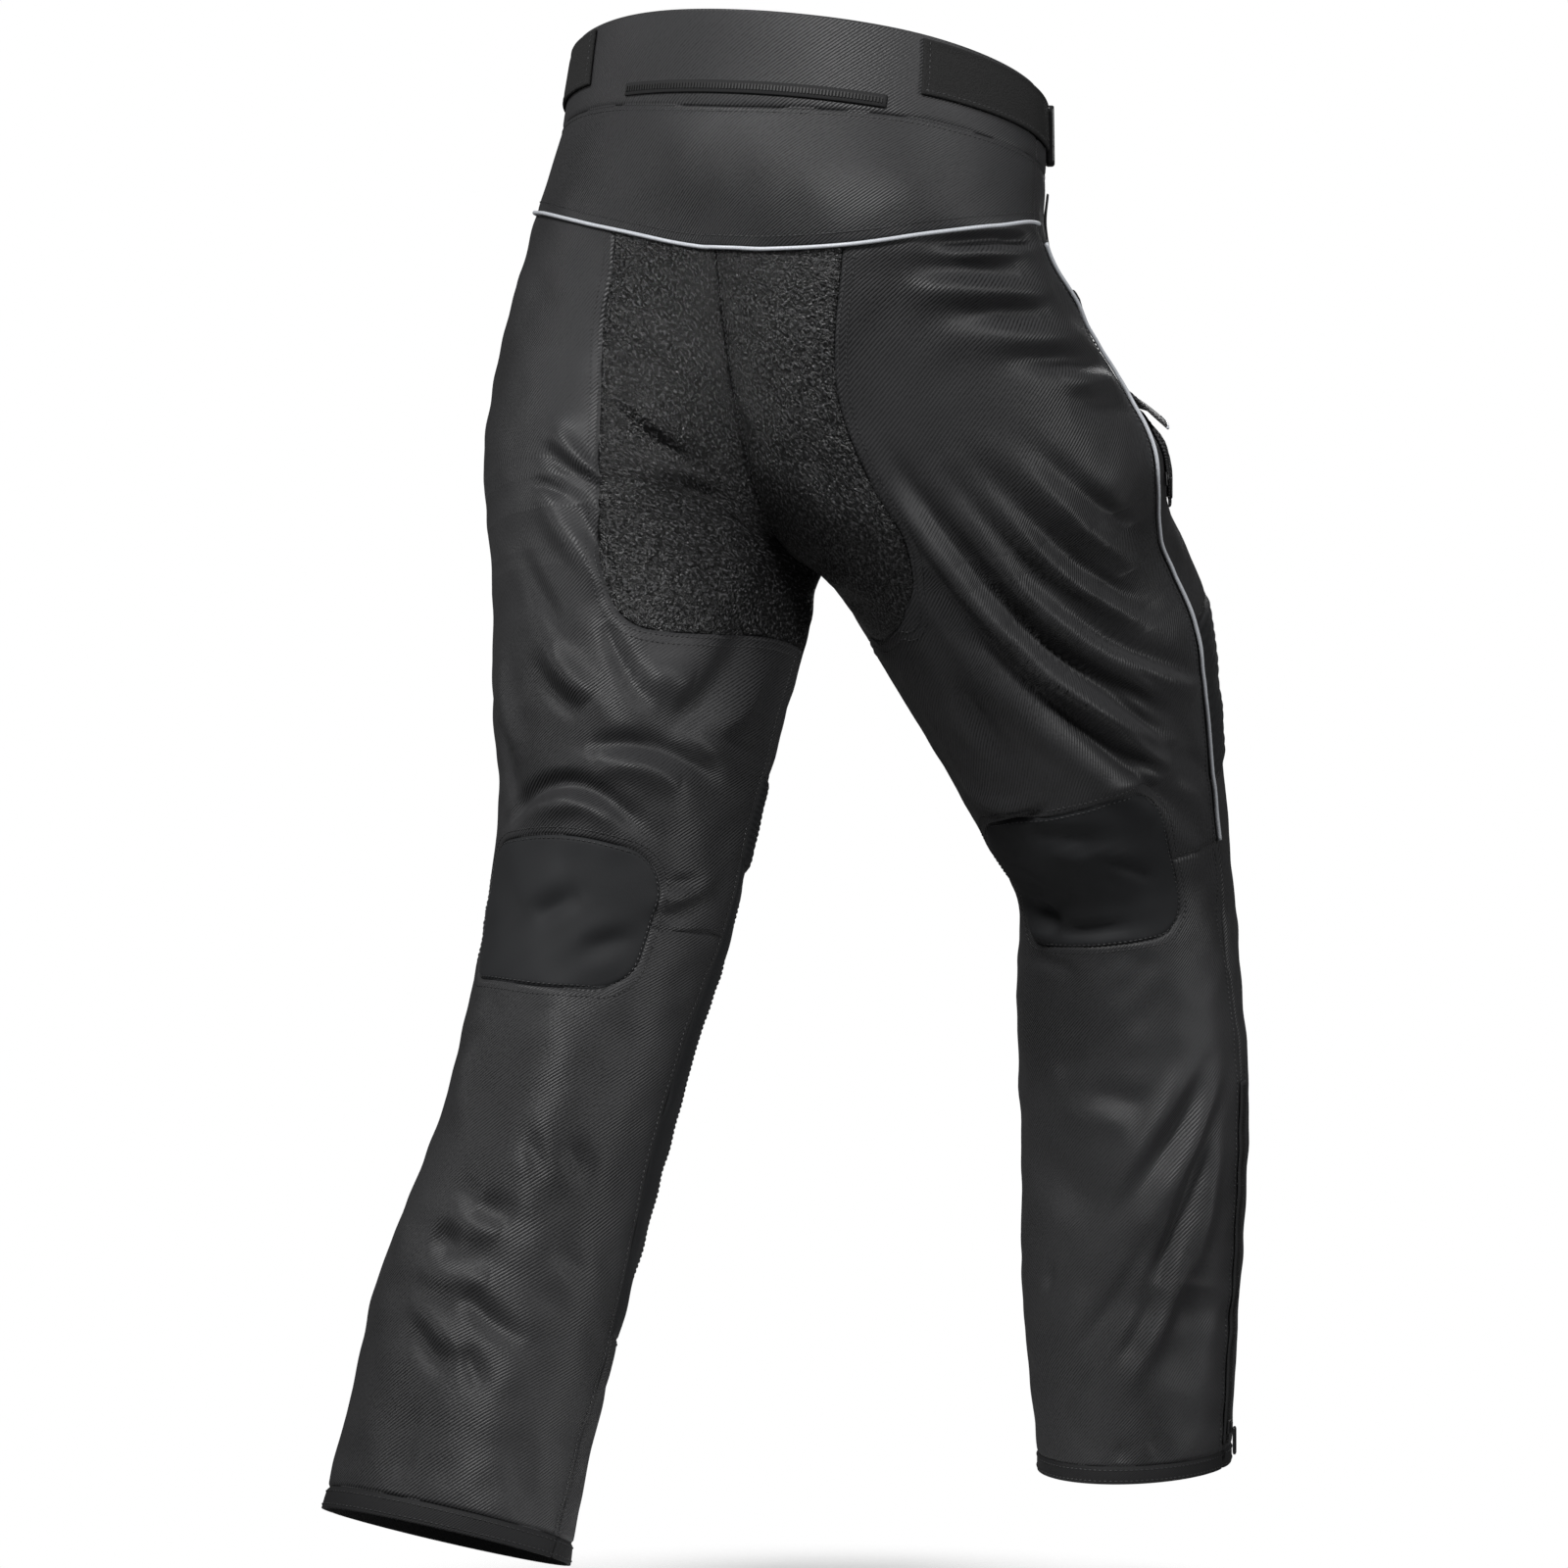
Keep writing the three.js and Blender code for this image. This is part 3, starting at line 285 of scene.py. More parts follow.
# %% Seam lines
LINE, DOWN_LINE = ["around", "down"], ["down", "around"]
SAME_LINES = {
    "waist": table(LINE, [[0, 0], [1, 0]]),
    "band": table(LINE, [[0, 62], [0.3, 57], [0.5, 56], [1, 56]]),
    "strip_end": table(LINE, [[0, 850], [1, 850]]),
    "hem_band": table(LINE, [[0, 986], [1, 986]]),
    "hem": table(LINE, [[0, HEM], [1, HEM]]),
}
SEAM_LINES = {
    "left": {
        **SAME_LINES,
        "yoke": table(LINE, [[0, 153], [0.03, 152.8], [0.1, 149], [0.2, 138.5], [0.35, 118],
                             [0.5, 109], [1, 106]]),
        "fork": table(LINE, [[0, FORK], [1, FORK]]),
        "seat": table(LINE, [[0, 404], [0.17, 423], [0.5, 420], [1, 404]]),
        "rib_top": table(LINE, [[0, 487], [0.5, 455], [1, 487]]),
        "patch_top": table(LINE, [[0, 543], [0.12, 562], [0.25, 558], [0.4, 560],
                                  [0.5, 545], [1, 543]]),
        "knee": table(LINE, [[0, 594], [0.12, 606], [0.4, 606], [0.5, 596], [1, 594]]),
        "patch_end": table(LINE, [[0, 650], [0.12, 652], [0.25, 659],
                                  [0.4, 654], [0.5, 650], [1, 650]]),
    },
    "right": {
        **SAME_LINES,
        "yoke": table(LINE, [[0, 153], [0.03, 153.2], [0.1, 152.5], [0.2, 146], [0.3, 134],
                             [0.4, 121], [0.5, 109], [1, 106]]),
        "fork": table(LINE, [[0, FORK], [0.12, 322], [0.3, 308], [0.7, 308], [1, FORK]]),
        "seat": table(LINE, [[0, 392], [0.1, 368], [0.2, 340], [0.6, 345], [1, 392]]),
        "rib_top": table(LINE, [[0, 440], [0.5, 405], [1, 440]]),
        "patch_top": table(LINE, [[0, 505], [0.1, 484], [0.22, 470], [0.35, 472],
                                  [0.42, 482], [0.5, 505], [1, 505]]),
        "knee": table(LINE, [[0, 548], [0.12, 540], [0.4, 538], [0.5, 543], [1, 548]]),
        "patch_end": table(LINE, [[0, 598], [0.12, 596], [0.25, 598], [0.4, 596], [1, 598]]),
    },
}
SEAT_EDGE = {
    "left": table(DOWN_LINE, [[0, 0.18], [150, 0.178], [216, 0.2], [292, 0.2], [374, 0.223],
                              [406, 0.217], [HEM, 0.2]]),
    "right": table(DOWN_LINE, [[0, 0.18], [150, 0.195], [220, 0.18], [266, 0.195], [295, 0.212],
                               [340, 0.2], [HEM, 0.2]]),
}
SIDE_SEAM = table(DOWN_LINE, [[0, 0.5], [109, 0.505], [170, 0.545], [240, 0.555],
                              [300, 0.515], [400, 0.5], [HEM, 0.5]])
PATCH_EDGES, STRIP_EDGE = (0.12, 0.403), 0.93
COLUMN_SHIFT = {"left": (430, 90), "right": (350, 110)}


def line_at(leg, name, around):
    curve = along if name == "yoke" else eased
    return curve(SEAM_LINES[leg][name], "around", "down", around)


def side_at(down):
    return along(SIDE_SEAM, "down", "around", down)


def seat_at(leg, down):
    return along(SEAT_EDGE[leg], "down", "around", down)


# %% [markdown]
# ## One weaving of rows and columns
#
# All pieces of a leg are cut from one lattice, so they meet exactly. Its rows follow the seam lines across
# the leg and its columns follow those down it. Both crowd together near a seam, where the cloth dips.

# %% Rows and columns of the fine lattice
ROW_BLOCKS = [
    ("waist", "band", 16), ("band", "yoke", 20), ("yoke", "fork", 92), ("fork", "seat", 22),
    ("seat", "rib_top", 24), ("rib_top", "patch_top", 84), ("patch_top", "knee", 16),
    ("knee", "patch_end", 18), ("patch_end", "strip_end", 68), ("strip_end", "hem_band", 46),
    ("hem_band", "hem", 8),
]
COLUMN_BLOCKS = [(0, 3, 20), (3, 5, 16), (5, 10, 54), (10, 12, 20), (12, 22, 60), (22, 24, 14)]
SIDE, LAST = 12, 24
SEAT_COLUMN, PATCH_IN, PATCH_OUT, STRIP_COLUMN = 5, 3, 10, 22
CROWD = 0.7


def crowded(count):
    t = np.linspace(0, 1, count + 1)
    return t - CROWD * np.sin(2 * math.pi * t) / (2 * math.pi)


row_place, row_start = [], {}
for block, (upper, lower, count) in enumerate(ROW_BLOCKS):
    row_start[upper] = len(row_place)
    steps = np.linspace(0, 1, count + 1) if upper == "rib_top" else crowded(count)
    row_place += [(block, t) for t in steps[:-1]]
row_start["hem"] = len(row_place)
row_place.append((len(ROW_BLOCKS) - 1, 1.0))

column_place, column_start = [], {}
for first, last, count in COLUMN_BLOCKS:
    column_start[first] = len(column_place)
    column_place += list(first + (last - first) * crowded(count)[:-1])
column_start[LAST] = len(column_place)
column_place.append(float(LAST))
column_place = np.array(column_place)
print("lattice of each leg:", len(row_place), "rows by", len(column_place), "columns")


# %% Placing the lattice on the form
def between(start, end, t):
    return start + (end - start) * t


def column_around(leg, column, down):
    side, seat = side_at(down), seat_at(leg, down)
    strip = between(STRIP_EDGE, 1, share(column, STRIP_COLUMN, LAST))
    front = between(side, STRIP_EDGE, share(column, SIDE, STRIP_COLUMN))
    over_seat = np.where(column <= SEAT_COLUMN, seat * column / SEAT_COLUMN,
                         between(seat, side, share(column, SEAT_COLUMN, SIDE)))
    over_knee = between(PATCH_EDGES[1], side, share(column, PATCH_OUT, SIDE))
    over_patch = between(*PATCH_EDGES, share(column, PATCH_IN, PATCH_OUT))
    over_knee = np.where(column <= PATCH_OUT, over_patch, over_knee)
    over_knee = np.where(column <= PATCH_IN, PATCH_EDGES[0] * column / PATCH_IN, over_knee)
    start, length = COLUMN_SHIFT[leg]
    back = between(over_seat, over_knee, smooth((down - start) / length))
    return np.where(column >= STRIP_COLUMN, strip, np.where(column >= SIDE, front, back))


def row_down(leg, around):
    names = [upper for upper, _, _ in ROW_BLOCKS] + ["hem"]
    levels = np.stack([line_at(leg, name, around) for name in names])
    block = np.array([b for b, _ in row_place])
    t = np.array([t for _, t in row_place])[:, None]
    rows, columns = np.arange(len(block))[:, None], np.arange(around.shape[1])[None, :]
    upper = levels[block[:, None], rows, columns]
    lower = levels[block[:, None] + 1, rows, columns]
    return between(upper, lower, t)


CORNER_RADIUS = 27
CORNERS = [("seat", SEAT_COLUMN, -1, -1), ("patch_top", PATCH_IN, 1, 1), ("patch_top", PATCH_OUT, -1, 1),
           ("patch_end", PATCH_IN, 1, -1), ("patch_end", PATCH_OUT, -1, -1)]


def round_corners(leg, around, down):
    """Turns the corners of the seat and the patch into quarter circles, easing the cloth beside them."""
    for line, column, inward, inward_down in CORNERS:
        r, c = row_start[line], column_start[column]
        ring = girth(leg, down[r, c])
        x = -inward * (around - around[r, c]) * ring
        y = -inward_down * (down - down[r, c])
        upright = x >= y
        foot = np.abs(x - y)
        t = np.clip(1 - foot / CORNER_RADIUS, 0, 1)
        angle = t * math.pi / 4
        weight = 1 - smooth(np.abs(np.maximum(x, y)) / (1.4 * CORNER_RADIUS))
        beside = CORNER_RADIUS * (np.cos(angle) - 1) * weight
        along_edge = CORNER_RADIUS * (np.sin(angle) - t) * weight
        x_move = np.where(upright, beside, along_edge)
        y_move = np.where(upright, along_edge, beside)
        around = around - inward * x_move / ring
        down = down - inward_down * y_move
    return around, down


places = {}
for leg in LEGS:
    around = np.repeat(column_place[None, :] / LAST, len(row_place), axis=0)
    for _ in range(6):
        down = row_down(leg, around)
        around = column_around(leg, column_place[None, :], down)
    places[leg] = round_corners(leg, around, down)
print("places worked out for", ", ".join(places))

# %% [markdown]
# ## Folds
#
# Worn cloth pulls from where it is held to where it is bent: from the hip to the knee on the leg in front,
# and in zigzags behind the knee of the leg that trails. Each fold is a soft ridge, or a trough where its
# height is below zero, with its own length, width and bow. The back is placed as it is seen, and the front
# has folds of the same kind where a stride makes them.

# %% The folds, leg by leg
FOLD = ["around", "down", "to_around", "to_down", "bow", "wide", "high"]
FOLDS = {
    "left": table(FOLD, [
        # seat
        [0.16, 205, 0.05, 236, 4, 9, 1.6],
        [0.2, 250, 0.085, 278, 3, 10, 3.5],
        [0.19, 262, 0.07, 292, 3, 8, -3.0],
        [0.19, 315, 0.06, 292, 0, 12, 4.0],
        [0.13, 312, 0.05, 300, 0, 6, -3.5],
        # outer hip and back thigh
        [0.255, 285, 0.205, 328, 0, 8, 4.0],
        [0.27, 300, 0.2, 332, 0, 6, -3.0],
        [0.275, 325, 0.215, 405, 3, 10, 4.4],
        [0.235, 340, 0.2, 420, 0, 6, -3.4],
        [0.285, 322, 0.245, 335, 0, 5, -3.0],
        [0.31, 372, 0.26, 430, 3, 8, -2.6],
        [0.28, 435, 0.225, 468, 3, 10, 4.4],
        [0.3, 445, 0.235, 480, 3, 8, -3.4],
        [0.22, 420, 0.165, 472, 3, 5, -3.6],
        [0.18, 448, 0.13, 452, 0, 10, 3.4],
        [0.085, 405, 0.168, 492, -11, 12, -5.6],
        [0.045, 420, 0.11, 492, -7, 9, 3.4],
        [0.235, 500, 0.07, 507, -9, 8, -4.8],
        [0.22, 512, 0.12, 516, -5, 9, 4.0],
        [0.36, 546, 0.15, 548, -22, 8, -5.6],
        [0.3, 543, 0.18, 545, -8, 9, 4.0],
        [0.11, 480, 0.04, 468, 0, 7, -3.0],
        [0.38, 470, 0.33, 540, 5, 10, -3.0],
        [0.36, 440, 0.33, 500, 4, 10, 3.0],
        # hollow of the knee
        [0.12, 602, 0.06, 575, 3, 8, -3.0],
        [0.115, 578, 0.07, 570, 0, 5, -2.0],
        [0.12, 590, 0.05, 562, 3, 6, 2.0],
        [0.27, 615, 0.215, 594, 0, 8, -2.2],
        [0.2, 632, 0.14, 615, 0, 7, -2.2],
        [0.31, 600, 0.24, 580, 3, 10, 1.4],
        # lower leg
        [0.19, 670, 0.18, 780, 0, 18, 2.0],
        [0.2, 752, 0.165, 776, 0, 6, -1.6],
        [0.145, 750, 0.105, 768, 0, 8, -2.0],
        [0.29, 790, 0.24, 795, 0, 6, -1.8],
        [0.245, 800, 0.19, 802, 0, 8, -2.4],
        [0.28, 808, 0.2, 813, 3, 8, 2.4],
        [0.3, 822, 0.255, 828, 0, 8, -3.4],
        [0.3, 846, 0.2, 842, 3, 9, 2.4],
        [0.23, 853, 0.14, 876, 3, 8, -3.0],
        [0.3, 862, 0.2, 893, 3, 8, 2.6],
        [0.285, 878, 0.225, 906, 3, 8, -3.0],
        [0.215, 885, 0.175, 912, 0, 6, -2.2],
        [0.14, 815, 0.075, 822, 0, 8, -2.0],
        [0.26, 930, 0.255, 985, 0, 8, -2.0],
        [0.36, 700, 0.28, 762, 5, 14, 1.8],
        [0.12, 930, 0.06, 985, 3, 10, -1.6],
        # front
        [0.92, 300, 0.66, 362, 8, 12, 3.0],
        [0.94, 330, 0.66, 402, 8, 9, -3.0],
        [0.95, 352, 0.62, 438, 8, 12, 3.2],
        [0.9, 210, 0.66, 250, -6, 13, -2.4],
        [0.93, 236, 0.68, 292, -6, 11, 2.6],
        [0.6, 575, 0.86, 590, 6, 13, 3.0],
        [0.58, 640, 0.8, 662, -6, 12, -2.8],
        [0.62, 735, 0.9, 792, 8, 14, 3.0],
        [0.6, 790, 0.86, 850, 8, 10, -3.2],
        [0.64, 842, 0.92, 900, 6, 12, 3.2],
        [0.58, 900, 0.8, 952, 5, 12, -2.4],
    ]),
    "right": table(FOLD, [
        # under the yoke on the hip
        [0.3, 142, 0.47, 121, 0, 5, -5.4],
        [0.41, 131, 0.47, 123, 0, 4, -3.0],
        [0.32, 148, 0.46, 134, 0, 5, 2.8],
        [0.27, 158, 0.42, 153, 0, 8, -3.4],
        [0.28, 170, 0.46, 164, 0, 8, 4.0],
        [0.3, 184, 0.43, 179, 0, 7, -3.4],
        [0.32, 196, 0.5, 192, 0, 9, 3.0],
        [0.36, 207, 0.53, 212, 0, 7, -4.0],
        [0.42, 222, 0.53, 227, 0, 7, 3.0],
        [0.42, 236, 0.53, 250, 3, 8, -2.2],
        # long pulls from the seat to the outside of the knee
        [0.21, 262, 0.3, 360, -4, 5, 3.6],
        [0.225, 250, 0.32, 352, -4, 5, -3.4],
        [0.235, 285, 0.47, 515, -7, 5, 4.6],
        [0.225, 303, 0.46, 530, -7, 5, -4.2],
        [0.25, 272, 0.475, 496, -7, 5, -4.4],
        [0.215, 330, 0.4, 505, -6, 8, 3.0],
        [0.265, 268, 0.47, 462, -6, 5, 3.4],
        [0.27, 252, 0.42, 378, -5, 5, -3.4],
        [0.28, 258, 0.46, 395, -5, 5, 3.6],
        [0.3, 250, 0.46, 376, -5, 5, -3.2],
        [0.33, 252, 0.47, 356, -4, 6, 3.0],
        [0.36, 250, 0.48, 335, -4, 6, -2.6],
        [0.31, 305, 0.465, 418, -5, 5, -3.6],
        [0.33, 330, 0.47, 440, -5, 5, 3.8],
        [0.3, 340, 0.46, 452, -5, 5, -3.8],
        [0.3, 368, 0.465, 474, -6, 5, 3.6],
        [0.37, 360, 0.48, 428, -4, 4, -2.6],
        [0.31, 400, 0.47, 500, -6, 5, -3.2],
        [0.41, 400, 0.49, 440, -3, 6, 3.0],
        [0.44, 440, 0.49, 500, -3, 5, -3.0],
        [0.21, 372, 0.25, 432, -3, 12, -3.6],
        # above and on the knee patch
        [0.14, 448, 0.25, 456, -6, 8, 3.0],
        [0.16, 464, 0.27, 462, -4, 4, -2.6],
        [0.34, 462, 0.42, 478, 3, 6, 2.6],
        [0.22, 480, 0.34, 502, 0, 9, -3.0],
        [0.24, 496, 0.35, 520, 0, 8, 2.2],
        [0.29, 506, 0.365, 546, 0, 5, -2.5],
        [0.165, 558, 0.215, 574, 0, 7, -4.0],
        [0.14, 572, 0.2, 590, -3, 8, 3.4],
        [0.21, 582, 0.33, 583, 0, 7, -3.6],
        [0.4, 500, 0.45, 560, 3, 9, 2.0],
        [0.46, 566, 0.5, 640, 3, 9, -2.2],
        # lower leg
        [0.13, 610, 0.24, 622, 3, 7, -2.2],
        [0.19, 700, 0.24, 683, 0, 9, -3.0],
        [0.25, 715, 0.33, 720, 0, 7, -2.2],
        [0.2, 730, 0.31, 742, 4, 10, 2.4],
        [0.13, 760, 0.27, 800, 0, 20, -4.0],
        [0.165, 850, 0.185, 852, 0, 10, -3.0],
        [0.38, 700, 0.27, 790, 0, 8, 3.2],
        [0.42, 700, 0.31, 787, 0, 8, -4.0],
        [0.44, 705, 0.32, 815, 3, 8, 3.0],
        [0.435, 720, 0.2, 940, 17, 8, -4.8],
        [0.36, 800, 0.22, 930, 12, 7, 3.6],
        [0.44, 760, 0.4, 850, 0, 8, 2.4],
        [0.33, 822, 0.2, 912, 6, 7, -2.8],
        [0.355, 855, 0.3, 906, 0, 8, -3.0],
        [0.39, 830, 0.3, 930, 5, 8, 3.0],
        [0.41, 855, 0.38, 930, 0, 20, -4.0],
        [0.35, 960, 0.36, 985, 0, 7, -1.8],
        [0.3, 965, 0.3, 985, 0, 7, -1.8],
        # front
        [0.58, 132, 0.9, 170, 7, 11, -4.4],
        [0.56, 160, 0.92, 192, 6, 12, 4.4],
        [0.6, 190, 0.94, 216, 5, 9, -4.6],
        [0.64, 216, 0.95, 238, 5, 12, 4.0],
        [0.68, 246, 0.95, 258, 4, 9, -3.4],
        [0.62, 330, 0.9, 352, 6, 12, 2.4],
        [0.58, 610, 0.86, 640, 6, 13, 3.2],
        [0.6, 660, 0.9, 722, 8, 11, -3.4],
        [0.62, 722, 0.92, 780, 8, 13, 3.4],
        [0.6, 790, 0.9, 842, 7, 10, -3.2],
        [0.62, 850, 0.92, 900, 7, 13, 3.4],
        [0.6, 920, 0.86, 960, 5, 11, -2.6],
    ]),
}


FOLD_DEPTH, FOLD_TAPER, FOLD_PAST, FOLD_FADE = 1.65, 0.6, 0.25, 0.045


def fold_height(leg, around, down):
    height = np.zeros_like(down)
    rows = FOLDS[leg]
    ring = girth(leg, down)
    for k in range(len(rows["down"])):
        fold = {name: rows[name][k] for name in FOLD}
        run_x, run_y = (fold["to_around"] - fold["around"]) * ring, fold["to_down"] - fold["down"]
        x, y = (around - fold["around"]) * ring, down - fold["down"]
        length = np.sqrt(run_x**2 + run_y**2)
        t = np.clip((x * run_x + y * run_y) / length**2, -FOLD_PAST, 1 + FOLD_PAST)
        aside = (x * run_y - y * run_x) / length - fold["bow"] * np.sin(math.pi * np.clip(t, 0, 1))
        past = np.maximum(np.abs(t - 0.5) - 0.5, 0) * length
        away = np.sqrt(aside**2 + past**2)
        taper = np.sin(math.pi * np.clip(t, 0.02, 0.98)) ** FOLD_TAPER
        height += fold["high"] * taper * np.exp(-((away / fold["wide"]) ** 2))
    return FOLD_DEPTH * height * smooth(np.minimum(around, 1 - around) / FOLD_FADE)


print("folds:", {leg: len(FOLDS[leg]["down"]) for leg in LEGS})

# %% Small unevenness, which no worn cloth is without
RIPPLE = np.random.default_rng(7)
RIPPLES, RIPPLE_LENGTHS, RIPPLE_HIGH = 26, (22, 70), 0.55
ripple_waves = []
for _ in range(RIPPLES):
    heading, length = RIPPLE.uniform(0, math.tau), RIPPLE.uniform(*RIPPLE_LENGTHS)
    ripple_waves.append((heading, length, RIPPLE.uniform(0, math.tau)))


def ripple(leg, around, down):
    x = SIGN[leg] * around * girth(leg, down)
    total = 0
    for heading, length, phase in ripple_waves:
        total = total + np.sin(math.tau * (x * math.cos(heading) + down * math.sin(heading)) / length + phase)
    return RIPPLE_HIGH * total / math.sqrt(len(ripple_waves))


# %% [markdown]
# ## Seams and ribs
#
# A sewn seam pulls the cloth down in a narrow valley with a softer dip round it. The distance to each seam
# is worked out on the cloth, so the valley has the same width everywhere. The stretch panel over the knee
# is gathered into ribs that run across the leg.

# %% Distance from the seams, and the relief of the whole cloth
def rounded(x, y, radius):
    """Distance inside a corner of that radius, above zero inside; x and y are measured from its sides."""
    over_x, over_y = np.maximum(radius - x, 0), np.maximum(radius - y, 0)
    return np.minimum(np.minimum(x, y), radius) * ((over_x == 0) | (over_y == 0)) + (
        radius - np.sqrt(over_x**2 + over_y**2)) * ((over_x > 0) & (over_y > 0))


def seat_inside(leg, around, down):
    ring = girth(leg, down)
    return rounded((seat_at(leg, down) - around) * ring, line_at(leg, "seat", around) - down, CORNER_RADIUS)


def patch_inside(leg, around, down):
    ring = girth(leg, down)
    across = np.minimum(around - PATCH_EDGES[0], PATCH_EDGES[1] - around) * ring
    drop = np.minimum(down - line_at(leg, "patch_top", around), line_at(leg, "patch_end", around) - down)
    return rounded(across, drop, CORNER_RADIUS)


def seam_distance(leg, around, down):
    ring = girth(leg, down)
    back, front = around <= side_at(down), around >= side_at(down)
    far = 1000.0
    found = [np.abs(down - line_at(leg, "band", around)), np.abs(down - line_at(leg, "hem_band", around))]
    found.append(np.abs(around - side_at(down)) * ring)
    found.append((1 - around) * ring)
    found.append(np.where(down > line_at(leg, "yoke", around), around * ring, far))
    found.append(np.where(back, np.abs(down - line_at(leg, "yoke", around)), far))
    under_yoke = back & (down > line_at(leg, "yoke", around))
    found.append(np.where(under_yoke, np.abs(seat_inside(leg, around, down)), far))
    patch = patch_inside(leg, around, down)
    found.append(np.where(back, np.abs(patch), far))
    found.append(np.where(back & (patch < 0), np.abs(down - line_at(leg, "knee", around)), far))
    for name in ("rib_top", "patch_top"):
        found.append(np.where(front, np.abs(down - line_at(leg, name, around)), far))
    strip = front & (down > line_at(leg, "patch_top", around)) & (down < line_at(leg, "strip_end", around))
    found.append(np.where(strip, np.abs(around - STRIP_EDGE) * ring, far))
    over_strip = front & (around > STRIP_EDGE)
    found.append(np.where(over_strip, np.abs(down - line_at(leg, "strip_end", around)), far))
    return np.minimum.reduce([np.broadcast_to(d, down.shape) for d in found])


SEAM_VALLEY, SEAM_DIP = {"deep": 1.3, "wide": 1.2}, {"deep": 0.5, "wide": 6.0}
BAND_LEDGE = {"deep": 0.9, "start": 3, "wide": 16}
RIB = {"count": 14, "high": 2.4, "power": 0.6, "edge": 9}
CALM = {"band": 50, "band_fade": 90, "hem": 4, "hem_fade": 40}


def rib_height(leg, around, down):
    top, end = line_at(leg, "rib_top", around), line_at(leg, "patch_top", around)
    t = share(down, top, end)
    inside = (around > side_at(down)) & (t > 0) & (t < 1)
    edge = np.minimum(around - side_at(down), 1 - around) * girth(leg, down)
    wave = np.abs(np.sin(math.pi * RIB["count"] * np.clip(t, 0, 1))) ** RIB["power"]
    return np.where(inside, RIB["high"] * wave * smooth(edge / RIB["edge"]), 0)


def calm_band(down):
    """Waistband and hem bands are stiff, so folds fade out on them."""
    top = smooth((down - CALM["band"]) / CALM["band_fade"])
    return top * smooth((HEM - down + CALM["hem"]) / CALM["hem_fade"])


def wear(leg, around, down):
    """Folds and ripples together, faded out on the stiff bands."""
    return (fold_height(leg, around, down) + ripple(leg, around, down)) * calm_band(down)


def relief(leg, around, down):
    distance = seam_distance(leg, around, down)
    sunk = sum(dip["deep"] * np.exp(-((distance / dip["wide"]) ** 2)) for dip in (SEAM_VALLEY, SEAM_DIP))
    under_band = down - line_at(leg, "band", around)
    fall = np.exp(-((np.maximum(under_band, 0) / BAND_LEDGE["wide"]) ** 2))
    ledge = BAND_LEDGE["deep"] * smooth(under_band / BAND_LEDGE["start"]) * fall
    return wear(leg, around, down) + rib_height(leg, around, down) - sunk - ledge


def on_cloth(leg, around, down, lift=0.0):
    """Points that lie on the finished cloth, in millimetres."""
    around, down = np.broadcast_arrays(np.asarray(around, float), np.asarray(down, float))
    out = outward(leg, around, down)
    return form_point(leg, around, down) + out * (relief(leg, around, down) + lift)[..., None]


# %% The fine cloth of both legs
CLOTH = 1.8
cloth = {}
for leg in LEGS:
    around, down = places[leg]
    out = outward(leg, around, down)
    form = form_point(leg, around, down)
    outer = form + out * relief(leg, around, down)[..., None]
    smooth_relief = fold_height(leg, around, down) * calm_band(down)
    inner = form + out * (smooth_relief - CLOTH)[..., None]
    ring = girth(leg, down)
    weave = np.stack([SIGN[leg] * around * ring, -down], axis=-1) * MM
    cloth[leg] = {"outer": outer, "inner": inner, "weave": weave}
for part in ("outer", "inner"):
    upper = row_start["fork"] + 1
    for column in (0, -1):
        middle = (cloth["left"][part][:upper, column] + cloth["right"][part][:upper, column]) / 2
        for leg in LEGS:
            cloth[leg][part][:upper, column] = middle
    for leg in LEGS:
        lower = (cloth[leg][part][upper - 1:, 0] + cloth[leg][part][upper - 1:, -1]) / 2
        cloth[leg][part][upper - 1:, 0] = lower
        cloth[leg][part][upper - 1:, -1] = lower
print("points on each leg:", cloth["left"]["outer"].shape[:2])

# %% [markdown]
# ## Finishes
#
# The cloth is a charcoal twill of smooth yarn: dull between the folds and faintly glossy along them. The seat
# is coarse grained leather that sparkles, partly from real gloss and partly from painted highlights in its
# colour; the knee patches and ribs are a smooth stretch knit, and the adjusters are hook tape. All patterns
# follow the weave, a map in metres along and across the cloth.

# %% Node helpers
def new_material(name):
    material = bpy.data.materials.new(name)
    material.use_nodes = True
    return material, material.node_tree, material.node_tree.nodes["Principled BSDF"]


def add(tree, kind, **settings):
    node = tree.nodes.new(kind)
    for name, value in settings.items():
        setattr(node, name, value)
    return node


def set_inputs(node, values):
    for name, value in values.items():
        node.inputs[name].default_value = value


def texture(tree, kind, source, values, **settings):
    """A texture node with its inputs set, that reads its place from source."""
    node = add(tree, kind, **settings)
    set_inputs(node, values)
    tree.links.new(source, node.inputs["Vector"])
    return node


def multiply_add(tree, value, factor, addend):
    node = add(tree, "ShaderNodeMath", operation="MULTIPLY_ADD")
    tree.links.new(value, node.inputs[0])
    node.inputs[1].default_value = factor
    tree.links.new(addend, node.inputs[2])
    return node.outputs[0]


def bump_into(tree, shader, height, strength, distance):
    bump = add(tree, "ShaderNodeBump")
    set_inputs(bump, {"Strength": strength, "Distance": distance})
    tree.links.new(height, bump.inputs["Height"])
    tree.links.new(bump.outputs["Normal"], shader.inputs["Normal"])


def ramp_between(tree, factor, low, high, start=0.0, end=1.0):
    ramp = add(tree, "ShaderNodeValToRGB")
    ramp.color_ramp.elements[0].color = (*low, 1)
    ramp.color_ramp.elements[1].color = (*high, 1)
    ramp.color_ramp.elements[0].position = start
    ramp.color_ramp.elements[1].position = end
    tree.links.new(factor, ramp.inputs["Fac"])
    return ramp.outputs["Color"]


# %% Woven and knitted cloth
DIAGONAL_WAVE = 14.14  # radians to the unit along the slant, at scale 1


